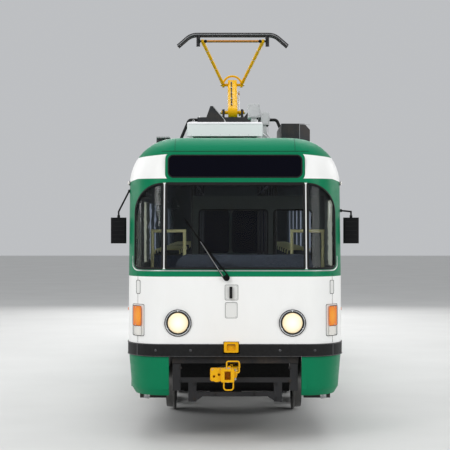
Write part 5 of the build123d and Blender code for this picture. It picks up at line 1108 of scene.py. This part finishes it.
# shaft and knee nuts, bands, and the cable with its clips on the lower arm
bm = bmesh.new()
along = (KNEE - PIVOT).normalized()
over = -along.cross(Vector((1, 0, 0))).normalized()
CABLE = Vector((-0.016, 0, 0))
for s in SIDES:
    lathe(bm, [(23.5, 0), (23.5, 4), (19, 5), (19, 13), (15, 15), (0, 16)],
          (s * 0.152, PIVOT.y, PIVOT.z), (s, 0, 0), 6)
    lathe(bm, [(19.5, 0), (19.5, 3), (16, 4), (16, 11), (12, 13), (0, 14)],
          (s * 0.155, KNEE.y, KNEE.z), (s, 0, 0), 6)
for f in (0.1, 0.3, 0.5, 0.7, 0.9):
    c = PIVOT.lerp(KNEE, f)
    lathe(bm, [(64.1, -12), (66.5, -11), (66.5, 11), (64.1, 12)], c, along, 40, 1)
    p = c + over * 0.0655 + CABLE
    prism(bm, [p + along * dy + Vector((dx, 0, 0)) for dx, dy in rect(-0.012, 0.012, -0.008, 0.008)], over * 0.014)
cable = []
for k in range(25):
    sag = over * (0.0725 + 0.0015 * math.sin(k * 1.7))
    cable.append(PIVOT.lerp(KNEE, 0.075 + 0.85 * k / 24) + sag + CABLE)
tube(bm, cable, 7.5, 10, 2)
trim("panto_lower_details", bm, "bright arm_yellow rubber", "panto_lower_arm")

# sleeves and bands on the upper arm
bm = bmesh.new()
for s in SIDES:
    lo, hi = KNEE + Vector((s * 0.125, 0, 0)), HEAD + Vector((s * 0.4, 0, 0))
    run = (hi - lo).normalized()
    for f in (0.07, 0.93):
        lathe(bm, [(22, -30), (24.5, -27), (24.5, 27), (22, 30)], lo.lerp(hi, f), run, 24, 1)
    for f in (0.2, 0.4, 0.6, 0.8):
        lathe(bm, [(22.2, -6), (23.6, -5), (23.6, 5), (22.2, 6)], lo.lerp(hi, f), run, 24)
trim("panto_upper_details", bm, "bright arm_yellow", "panto_upper_arm")

# bronze sleeve, collars and the strips' carbon and mid lines on the head
bm = bmesh.new()
lathe(bm, [(14.2, -341), (16.5, -339), (16.5, 339), (14.2, 341)], HEAD, (1, 0, 0), 28)
for s in SIDES:
    collar = [(14.2, 0), (21, 2), (21, 26), (14.2, 28)]
    lathe(bm, collar, HEAD + Vector((s * 0.346, 0, 0)), (s, 0, 0), 24, 1)
    bolt(bm, HEAD + Vector((s * 0.454, 0, 0)), (s, 0, 0), 13, 9, 2)
    for z in (4.535, 4.66):
        lathe(bm, [(24.2, -4), (26.2, -3), (26.2, 3), (24.2, 4)],
              (s * 0.456, HEAD.y, z), UP, 24, 1)
HORN, HORN_R, HORN_X, HORN_Z = math.radians(41), 0.2, 0.473, 4.6812
for sy in SIDES:
    y = HEAD.y + sy * 0.0972
    line = [Vector((0.0473 * k - HORN_X, y, HORN_Z)) for k in range(21)]
    right = []
    for k in range(1, 9):
        a = HORN * k / 8
        right.append(Vector((HORN_X + HORN_R * math.sin(a), y, HORN_Z - HORN_R * (1 - math.cos(a)))))
    right.append(right[-1] + Vector((math.cos(HORN), 0, -math.sin(HORN))) * 0.15)
    strip(bm, mirrored(right) + line + right, (0, sy, 0), half_round(8, 3), False, 3)
    for seg in range(4):
        x0, y0 = -0.466 + seg * 0.2345, HEAD.y + sy * 0.075
        block(bm, (x0, y0 - 0.015, 4.695), (x0 + 0.2285, y0 + 0.015, 4.7025), 4)
trim("panto_head_details", bm, "bronze black bright strip_grey carbon", "panto_head", 40, 0.0006)

# adjusting sleeves on the guide rod
bm = bmesh.new()
ROD_LENGTH, ROD_TILT = 1.08, math.radians(21.2)
r0 = Vector((0.09, -1.86, 3.64))
r1 = Vector((0.09, -1.86 + ROD_LENGTH * math.cos(ROD_TILT), 3.64 + ROD_LENGTH * math.sin(ROD_TILT)))
run = (r1 - r0).normalized()
for f, flip in ((0.12, 1), (0.88, -1)):
    for sleeve in ([(9.2, -35), (12.5, -33), (12.5, 20), (9.2, 22)],
                   [(9.2, 24), (13.5, 25), (13.5, 32), (9.2, 33)]):
        lathe(bm, sleeve, r0.lerp(r1, f), run * flip, 6)
trim("panto_rod_details", bm, "bronze", "panto_rod")


# ---------------------------------------------------------------- sides and doors
BAYS = [s * y for s in SIDES for y in (1.4, 2.75, 4.1)]
DOOR_Y = list(DOORWAYS.values())


def side_ring(bm, s, x, y0, y1, z0, z1, r, section_pts):
    """Strip round a rounded opening in a side."""
    strip(bm, lay(pane(y0, y1, z0, z1, r, 0.1, 8), 0, s * x), (s, 0, 0), section_pts, True)


# window rubbers, the bars of the tilting panes and their catches; the doorways are at -X
bm = bmesh.new()
for s in (1, -1):
    for y in BAYS + (DOOR_Y if s > 0 else []):
        side_ring(bm, s, HALF_WIDTH, y - 0.591, y + 0.591, 1.734, 2.446, 0.066, half_round(26, 7, 12))
        for z in (2.235, 2.262):
            block(bm, (s * 1.0852, y - 0.585, z), (s * 1.092, y + 0.585, z + 0.014), 1)
        for py in (y - 0.3, y + 0.3):
            block(bm, (s * 1.0852, py - 0.03, 2.27), (s * 1.0945, py + 0.03, 2.282), 1)
trim("side_window_rubber", bm, "rubber bright", "bumpers", 50)

# rear window rubber and lamp rings
bm = bmesh.new()
for s in SIDES:
    line = pane(s * 0.335 - 0.311, s * 0.335 + 0.311, 1.644, 2.456, 0.086, 0.06, 8)
    on_front(bm, line, half_round(26, 8, 6), end=1)
    for z in (1.12, 1.29):
        ring = [(63.5, -10), (63.5, 6), (68, 10), (73.5, 6), (73.5, -10)]
        lathe(bm, ring, *spot(s * 0.8, z, 0.001, 1), 40, closed=False)
trim("rear_rubber", bm, "rubber", "bumpers", 50)

# joint covers between ends and sides, side repeaters and skirt latches
bm = bmesh.new()
for sx in SIDES:
    n = (sx, 0, 0)
    for sy in SIDES:
        line = [Vector((sx * HALF_WIDTH, sy * 6.24, 0.99 + k * 0.0805)) for k in range(21)]
        strip(bm, line, n, chamfered(12, 8, 1.5, 3))
    for y in (-6.3, 1.0 if sx > 0 else 2.1, 6.32):
        for w, h, r, x, depth, mat in ((0.04, 0.022, 0.02, 1.0995, 0.004, 1), (0.032, 0.015, 0.014, 1.103, 0.014, 2)):
            plate(bm, pane(y - w, y + w, 1.3 - h, 1.3 + h, r), 0, sx * x, sx * depth, mat)
    for y in (-6.0, -5.0, -1.55, -0.85, 0.85, 1.55, 5.0, 6.0):
        if sx < 0 and min(abs(y - d) for d in DOOR_Y) < 1.0:
            continue
        lathe(bm, [(16, -4), (16, 1), (13, 3), (0, 3.5)], (sx * 1.0955, y, 0.82),
              (sx, 0, -0.085), 20, 3)
        for py in (y - 0.3, y + 0.3):
            block(bm, (sx * 1.088, py - 0.035, 0.836), (sx * 1.0985, py + 0.035, 0.848), 3)
trim("side_fittings", bm, "body rubber orange dark_ring", "indicators", 40, 0.0006)

# door leaves: pane rubbers, kick plates with screws, and the seals between the folding leaves
LEAF_SPAN = {"a1": (-0.630, -0.3205), "b1": (-0.3145, -0.005), "a2": (0.3205, 0.630), "b2": (0.005, 0.3145)}
KICK_X = -1.0965
for way, door_y in DOORWAYS.items():
    for leaf, span in LEAF_SPAN.items():
        y0, y1 = (door_y + v for v in span)
        bm = bmesh.new()
        for z0, z1 in ((0.614, 1.202), (1.25, 2.336)):
            side_ring(bm, -1, 1.095, y0 + 0.052, y1 - 0.052, z0 + 0.004, z1 - 0.004, 0.026,
                      half_round(16, 3, 6))
        block(bm, (KICK_X, y0 + 0.02, 0.486), (-1.0945, y1 - 0.02, 0.592), 1)
        for py in (y0 + 0.035, y1 - 0.035):
            for z in (0.498, 0.58):
                lathe(bm, [(4, 0), (4, 1), (0, 2)], (KICK_X, py, z), (-1, 0, 0), 10, 2)
        if leaf[0] == "b":
            free, width = (y1, -0.016) if leaf == "b1" else (y0, 0.016)
            block(bm, (-1.0985, free, 0.475), (-1.0945, free + width, 2.428))
        leaf = f"door_{way}_{leaf}"
        trim(f"{leaf}_trim", bm, "rubber step bright", "bumpers", 50, body=BODY_OF[leaf])


# ---------------------------------------------------------------- cabin
def pad(bm, centre, forward, w, d, h):
    """Stuffed cushion across the car: a flat back, rolled edges and a crowned face."""
    n = 8
    centre, right = Vector(centre), Vector((1, 0, 0))
    up = right.cross(forward)
    rows = []
    for i in range(n + 1):
        a = i / n * 2 - 1
        seam = 0.004 * math.exp(-((a * 3) ** 2 % 1.0) * 9)
        row = []
        for j in range(n + 1):
            b = j / n * 2 - 1
            tuck = 0.006 * (max(abs(a), abs(b)) > 0.99)
            crown = (1 - a ** 4) * (1 - b ** 4)
            row.append(bm.verts.new(centre + right * a * (w / 2 - tuck) + forward * b * (d / 2 - tuck)
                                    + up * (h * (0.45 + 0.55 * crown) - seam)))
        rows.append(row)
    for i in range(n):
        for j in range(n):
            bm.faces.new((rows[i][j], rows[i + 1][j], rows[i + 1][j + 1], rows[i][j + 1]))
    rim = [rows[i][0] for i in range(n)] + [rows[n][j] for j in range(n)]
    rim += [rows[i][n] for i in range(n, 0, -1)] + [rows[0][j] for j in range(n, 0, -1)]
    low = [bm.verts.new(v.co - up * (v.co - centre).dot(up)) for v in rim]
    for k in range(len(rim)):
        j = (k + 1) % len(rim)
        bm.faces.new((rim[k], rim[j], low[j], low[k]))
    bm.faces.new(low)


PITCH = 0.8
SEATS = [(x, y + PITCH * k) for x, y, count in ((0.79, -4.25, 11), (-0.79, -4.25, 5), (-0.79, 1.0, 5))
         for k in range(count)]
DRIVER = (0.33, -5.8)
SEAT_LINE, BACK_LINE = (Vector(v).normalized() for v in ((0, 0.355, -0.015), (0, 0.065, 0.45)))
bm = bmesh.new()
for x, y in SEATS + [DRIVER]:
    pad(bm, (x, y - 0.02, 1.3915), SEAT_LINE, 0.38, 0.33, 0.045)
    pad(bm, (x, y + 0.187, 1.64), BACK_LINE, 0.38, 0.36, 0.035)
cushions = trim("seat_cushions", bm, "cushion", "seats", 60)

# seat back grips, pole collars and hand loops
bm = bmesh.new()
POLE_X = 0.48
for x, y in SEATS:
    top = [(x + dx, y + 0.225, z) for dx, z in ((-0.15, 1.83), (-0.15, 1.885), (0.15, 1.885), (0.15, 1.83))]
    tube(bm, bend(top, 0.03), 9, 8)
for s in SIDES:
    x = s * POLE_X
    for y in (-4.6, -2.3, 0.0, 2.3, 4.6):
        lathe(bm, [(36, 0), (36, 6), (19, 16)], (x, y, 0.9285), UP, 20)
        lathe(bm, [(34, 0), (34, 6), (19, 14)], (x, y, 3.0195), (0, 0, -1), 20)
    for k in range(12):
        y = -4.1 + k * 0.74
        loop = [(x + 0.001, y - 0.02, 2.68), (x, y - 0.006, 2.56), (x, y - 0.05, 2.50), (x, y + 0.05, 2.50),
                (x, y + 0.006, 2.56), (x + 0.001, y + 0.02, 2.68)]
        tube(bm, bend(loop, 0.012, 3), 7, 6, 1)
trim("cabin_grips", bm, "rail rubber", "handrails", 50)

# two rows of ceiling lamps: a housing and a cover
bm = bmesh.new()
for s in SIDES:
    y = -5.6
    while y < 5.6:
        for inset, radius, z, drop, mat in ((0.0, 0.02, 3.0195, -0.022, 0), (0.012, 0.016, 2.9985, -0.014, 1)):
            x, w = s * 0.27, 0.07 - inset
            plate(bm, pane(x - w, x + w, y + inset, y + (1.15 - inset), radius, 0.3, 4), 2, z, drop, mat)
        y += 1.4
trim("ceiling_lamps", bm, "inside lamp_cover", "clear_lamps", 40, 0.002)

# covers over the door gear, and rubber round the partition's panes
bm = bmesh.new()
for y in DOOR_Y:
    cover = [(-1.0395, 2.47), (-0.94, 2.47), (-0.94, 2.56), (-0.99, 2.66), (-1.0395, 2.66)]
    plate(bm, cover, 1, y - 0.62, 1.24)
    for dy in (-0.5, -0.1, 0.3, 0.5):
        lathe(bm, [(12, 0), (12, 2), (0, 4)], (-0.94, y + dy, 2.515), (1, 0, 0), 16, 1)
    block(bm, (-0.9405, y - 0.003, 2.472), (-0.9385, y + 0.003, 2.558), 2)
for x0, x1 in ((-0.398, 0.3825), (0.4575, 0.8897)):
    for y, n in ((-4.81, -1), (-4.78, 1)):
        strip(bm, lay(pane(x0, x1, 1.3, 2.349, 0.04, 0.1), 1, y), (0, n, 0), half_round(20, 6, 3), True, 2)
trim("door_gear_covers", bm, "inside bright rubber", "cab_desk", 40, 0.002)

# driver's side of the desk: panel, gauges, buttons, lever and pedals
bm = bmesh.new()
PANEL_Y = -6.3885
plate(bm, pane(-0.2, 0.72, 1.42, 1.72, 0.03, 0.1, 5), 1, -6.4005, 0.012)
for k in range(3):
    x, z = 0.2 + 0.13 * k, 1.65
    lathe(bm, [(50, 0), (50, 12), (44, 14), (43, 8), (0, 8)], (x, PANEL_Y, z), (0, 1, 0))
    lathe(bm, [(41, 8.2), (0, 8.6)], (x, PANEL_Y, z), (0, 1, 0), mat=1)
    block(bm, (x - 0.0012, PANEL_Y + 0.0088, z), (x + 0.0012, PANEL_Y + 0.0098, z + 0.034), 2)
for row in range(3):
    for k in range(9):
        lathe(bm, [(11, 0), (11, 4), (8, 12), (0, 12.5)],
              (-0.14 + 0.095 * k, PANEL_Y, 1.455 + 0.045 * row), (0, 1, 0), 16, 3 if (k + row) % 4 else 2)
tube(bm, bend([(0.05, -6.389, 1.67), (0.05, -6.33, 1.67), (0.05, -6.29, 1.73)], 0.02), 8, 10, 4)
lathe(bm, [(0, -2), (18, 4), (20, 20), (12, 34), (0, 38)], (0.05, -6.292, 1.722),
      (0, 0.5, 0.8), 20)
for x in (0.22, 0.33, 0.44):
    x0, x1 = x - 0.035, x + 0.035
    prism(bm, [(x0, -6.3995, 1.0), (x1, -6.3995, 1.0), (x1, -6.33, 1.12), (x0, -6.33, 1.12)], (0, 0.012, 0.006))
trim("desk_instruments", bm, "black lamp_cover orange rubber bright", "cab_desk", 40, 0.0006)


# ---------------------------------------------------------------- running gear and chassis
BOX_X, SPRING_X, HANGER_X = 0.602, 0.545, 0.756     # axle boxes, their springs, hangers of the track brakes
MOTOR_X, MOTOR_Z = 0.185, 0.4
for way, by in (("front", -3.2), ("rear", 3.2)):
    bm = bmesh.new()
    for sx in SIDES:
        n, x = (sx, 0, 0), sx * SPRING_X
        for winding in ((108.5, 10.5, 4.5, 0, 24, 8), (97.5, 2, 3.0, 1, 20, 6)):
            coil(bm, (x, by, 0.603), (x, by, 0.684), *winding)
        for end in SIDES:
            ay = by + end * 0.95
            lathe(bm, [(71.5, -1), (71.5, 12), (98, 12), (100, 8), (100, -1)],
                  (sx * BOX_X, ay, AXLE_Z), n, 40, 1, closed=False)
            bolt_ring(bm, (sx * 0.613, ay, AXLE_Z), (1, 2), 0.086, 6, 0.3, n, 7, 6, 2)
            for y in (ay - 0.08, ay + 0.08):
                bolt(bm, (x, y, 0.6), UP, 13, 12, 2)
            y = ay - end * 0.14
            block(bm, (x - 0.054, y - 0.008, 0.474), (x + 0.054, y + 0.008, 0.606), 1)
        for dy in (-0.4, 0.4):
            for dd in (-0.045, 0.045):
                bolt(bm, (sx * 0.57, by + dy + dd, 0.65), UP, 10, 9, 2)
        x = sx * HANGER_X
        for y in (by - 0.23, by + 0.23):
            coil(bm, (x, y, 0.13), (x, y, 0.26), 34, 5.5, 6, 0, 16, 6)
            lathe(bm, [(44, 0), (44, 8), (30, 12)], (x, y, 0.118), UP, 20, 1)
            bolt(bm, (sx * 0.7765, y, 0.5), n, 10, 8, 2)
        for k in range(9):
            y = by - 0.36 + 0.09 * k
            block(bm, (sx * 0.7875, y - 0.03, 0.05), (sx * 0.7905, y + 0.03, 0.108), 3)
        bends = ((0.6, 0.39, 0.525), (0.63, 0.3, 0.5), (0.66, 0.23, 0.46), (0.7, 0.2, 0.3), (0.74, 0.14, 0.122))
        hose = [(sx * px, by - dy, z) for px, dy, z in bends]
        tube(bm, bend(hose, 0.05), 9, 8, 4)
    for s in SIDES:
        x, y, n = s * MOTOR_X, by + s * 0.075, (0, -s, 0)
        for k in range(8):
            lathe(bm, [(165.2, -6), (171, -4), (171, 4), (165.2, 6)],
                  (x, by + s * (0.13 + 0.07 * k), MOTOR_Z), (0, 1, 0), 48, 5)
        bolt_ring(bm, (x, y, MOTOR_Z), (0, 2), 0.14, 8, 0.2, n, 9, 8, 2)
        lathe(bm, [(110, 0), (110, 10), (50, 20), (0, 22)], (x, y, MOTOR_Z), n, 32, 5)
        for k in range(4):
            bolt(bm, (x + (k % 2 * 2 - 1) * 0.13, by + s * (0.95 - 0.1 + 0.2 * (k // 2)), 0.543), UP, 11, 10, 2)
        bends = ((1, 0.3, 0.56), (1, 0.3, 0.6), (0.3, 0.2, 0.62), (0.3, 0.05, 0.64))
        hose = [(x * f, by + s * dy, z) for f, dy, z in bends]
        tube(bm, bend(hose, 0.03), 14, 10, 4)
    trim(f"bogie_details_{way}", bm, "bogie dark_ring bright brake rubber motor", f"bogie_frame_{way}")

for i, ay in enumerate(AXLES, 1):
    bm = bmesh.new()
    for s in SIDES:
        n = (s, 0, 0)
        hub, web = (s * 0.808, ay, AXLE_Z), (s * 0.757, ay, AXLE_Z)
        bolt_ring(bm, hub, (1, 2), 0.098, 8, 0, n, 10, 9, 0)
        lathe(bm, [(66, 0), (66, 6), (56, 10), (20, 11), (0, 11)], hub, n, 36, 1)
        bolt_ring(bm, (s * 0.8185, ay, AXLE_Z), (1, 2), 0.04, 3, 0.5, n, 6, 5, 0)
        bolt_ring(bm, web, (1, 2), 0.215, 9, 0.2, n, 14, 13, 0)
        lathe(bm, [(262, -2), (262, 4), (270, 7), (278, 4), (278, -2)], web, n, 56, 2,
              closed=False)
    trim(f"wheel_details_{i}", bm, "bright dark_ring rubber", f"wheelset_{i}")

# chassis: guard bolts, tow lugs and their carriers, pipes, box lids with latches and glands
bm = bmesh.new()
LUG_Y, GUARD_Y = 6.78, 6.939
LID_TOP, LID_GAP = 0.77, 0.02
for end in SIDES:
    n = (0, end, 0)
    for sx in SIDES:
        for x, z in ((0.552, 0.735), (0.552, 0.60), (0.412, 0.57), (0.412, 0.42), (0.2, 0.468)):
            bolt(bm, (sx * x, end * GUARD_Y, z), n, 11, 9, 3)
        lug = [(sx * x, z) for x, z in ((0.86, 0.475), (0.93, 0.475), (0.93, 0.415), (0.875, 0.405))]
        plate(bm, lug, 1, end * LUG_Y, -end * 0.012, 1)
        block(bm, (sx * 0.86, end * LUG_Y, 0.458), (sx * 0.93, end * 6.70, 0.466), 1)
        block(bm, (sx * 0.7, end * 6.7, 0.414), (sx * 0.97, end * 6.76, 0.474), 3)
        for x in (0.878, 0.912):
            bolt(bm, (sx * x, end * 6.7805, 0.445), n, 8, 6)
    for x in (-0.24, 0.24):
        tube(bm, [(x, end * y, 0.83) for y in (6.2, 5.2, 4.9)], 14, 10, 2)
for x in (-0.22, -0.17, 0.17, 0.25):
    tube(bm, [(x, -1.35, 0.865), (x, 1.35, 0.865)], 13, 10, 2)
    for y in (-1.2, -0.4, 0.4, 1.2):
        block(bm, (x - 0.02, y - 0.012, 0.85), (x + 0.02, y + 0.012, 0.899), 1)
for s, ly, hy, lz in ((1, -1.45, -0.1, 0.5), (1, 0.1, 1.45, 0.5), (-1, -1.45, -0.8, 0.52), (-1, 0.8, 1.45, 0.52)):
    outer, inner = s * 1.0, s * 0.66
    n = max(1, round((hy - ly) / 0.45))
    w = (hy - ly) / n
    for k in range(n):
        a, b = ly + k * w + LID_GAP, ly + (k + 1) * w - LID_GAP
        plate(bm, pane(a, b, lz + 0.04, LID_TOP, 0.02, 0.2, 4), 0, outer - s * 0.001, s * 0.007, 3)
        for y in (a + 0.06, b - 0.06):
            block(bm, (outer, y - 0.016, lz + 0.05), (outer + s * 0.014, y + 0.016, lz + 0.085))
            tube(bm, [(outer + s * 0.009, y + dy, 0.765) for dy in (-0.025, 0.025)], 6, 8)
    for k in range(3):
        lathe(bm, [(22, 0), (22, 14), (15, 18), (15, 40)],
              (inner, ly + (k + 1) * (hy - ly) / 4, 0.66), (-s, 0, 0), 16, 2)
trim("chassis_details", bm, "bright strip_grey rubber chassis", "underframe", 40, 0.0008)

# rubber curtains before the outer wheels, clamped under the frame
bm = bmesh.new()
CURTAIN_Y, THIN, HEM = 5.1, 0.003, 0.006            # half the thickness of the sheet and of its hem
for end in SIDES:
    rings = []
    for z in (0.8, 0.72, 0.6, 0.48, 0.38, 0.33, 0.326, 0.31):
        half = HEM if z < 0.33 else THIN
        line = [(-0.62 + 0.031 * k, 0.008 * math.sin(0.45 * k) * (0.8 - z)) for k in range(41)]
        outer = [(x, end * (CURTAIN_Y + half) + wave, z) for x, wave in line]
        inner = [(x, end * (CURTAIN_Y - half) + wave, z) for x, wave in reversed(line)]
        rings.append([bm.verts.new(p) for p in outer + inner])
    skin(bm, rings, 0)
    block(bm, (-0.6, end * 5.104, 0.74), (0.6, end * 5.112, 0.786), 1)
    for k in range(7):
        bolt(bm, (-0.54 + 0.18 * k, end * 5.112, 0.762), (0, end, 0), 10, 8, 1)
trim("mud_curtains", bm, "rubber chassis", "underframe")

# couplers: flange bolts, bushings, lead with its clips and the swivel's nut
for way, turned in (("front", 1), ("rear", -1)):
    bm = bmesh.new()

    def cp(x, y, z):
        return Vector((turned * x, turned * y, z))

    for x in (-0.219, -0.147, -0.004):
        for z in (0.668, 0.756):
            bolt(bm, cp(x, -7.425, z), (0, -turned, 0), 8.5, 8)
    for z, up in ((0.777, 1), (0.647, -1)):
        lathe(bm, [(18.2, -4), (18.2, 4), (21, 6), (29, 4), (29, -1)],
              cp(-0.077, -7.49, z), (0, 0, up), closed=False)
    lead = [(-0.183, -7.39, 0.735), (-0.185, -7.3, 0.76), (-0.12, -7.2, 0.775), (-0.07, -7.1, 0.757),
            (-0.04, -6.98, 0.756), (-0.02, -6.75, 0.756)]
    tube(bm, bend([cp(*p) for p in lead], 0.05), 8, 10, 1)
    for y in (-7.12, -6.95, -6.78):
        c = cp(-0.038 - (-y - 6.95) * 0.12, y, 0.757)
        block(bm, (c.x - 0.014, c.y - 0.008, 0.744), (c.x + 0.014, c.y + 0.008, 0.768), 2)
    lathe(bm, [(36, 0), (36, 6), (26, 10), (26, 18), (0, 19)], cp(0, -6.3, 0.7472), UP, 6)
    trim(f"coupler_details_{way}", bm, "bright rubber yellow", f"coupler_{way}")


# ---------------------------------------------------------------- stage, light and camera
def into_scene(ob):
    bpy.context.scene.collection.objects.link(ob)
    return ob


def area(name, loc, target, size, power):
    """Soft rectangular light turned to a target."""
    data = bpy.data.lights.new(name, "AREA")
    data.shape = "RECTANGLE"
    data.size, data.size_y = size
    data.energy = power
    ob = into_scene(bpy.data.objects.new(name, data))
    ob.location = loc
    ob.rotation_mode = "QUATERNION"
    ob.rotation_quaternion = (Vector(target) - Vector(loc)).to_track_quat("-Z", "Y")


FLOOR = 90.0
floor_me = bpy.data.meshes.new("studio_floor")
floor_me.from_pydata([(-FLOOR, -FLOOR, 0), (FLOOR, -FLOOR, 0), (FLOOR, FLOOR, 0), (-FLOOR, FLOOR, 0)], [],
                     [(0, 1, 2, 3)])
floor_mat, nt, b = new_mat("studio_floor")
feed(nt, b, {"Base Color": ramp(nt, noise(nt, 0.6, 3.0, 0.5), 0.3, 0.7, lin(206, 206, 204), lin(212, 212, 210)),
             "Roughness": 0.7})
floor_me.materials.append(floor_mat)
floor = into_scene(bpy.data.objects.new("studio_floor", floor_me))

world = bpy.data.worlds.new("studio")
world.use_nodes = True
feed(world.node_tree, world.node_tree.nodes["Background"], {"Color": (0.93, 0.95, 0.98, 1.0), "Strength": 0.55})
bpy.context.scene.world = world
bpy.context.scene.view_settings.view_transform = "Standard"

area("key", (-7.5, -17.0, 9.5), (0, -6.5, 2.0), (6, 6), 820)
area("fill", (9.0, -15.0, 5.0), (0, -6.5, 1.8), (7, 5), 380)
area("top", (0, 2.0, 12.0), (0, 0, 0), (12, 20), 1000)
area("side_left", (-14, 3, 7), (0, 1, 1.5), (12, 6), 700)
area("side_right", (14, 3, 7), (0, 1, 1.5), (12, 6), 700)
area("back", (0, 18, 6), (0, 7, 2), (8, 5), 550)

CAMERA_PLACE, LENS, SENSOR = (-0.1026, -23.0, 2.176), 127.3, 36.0
cam_data = bpy.data.cameras.new("camera")
cam_data.sensor_width = SENSOR
cam_data.lens = LENS
cam_data.clip_end = 300.0
cam = into_scene(bpy.data.objects.new("camera", cam_data))
cam.location = CAMERA_PLACE
cam.rotation_euler = (math.radians(90), 0, 0)
bpy.context.scene.camera = cam
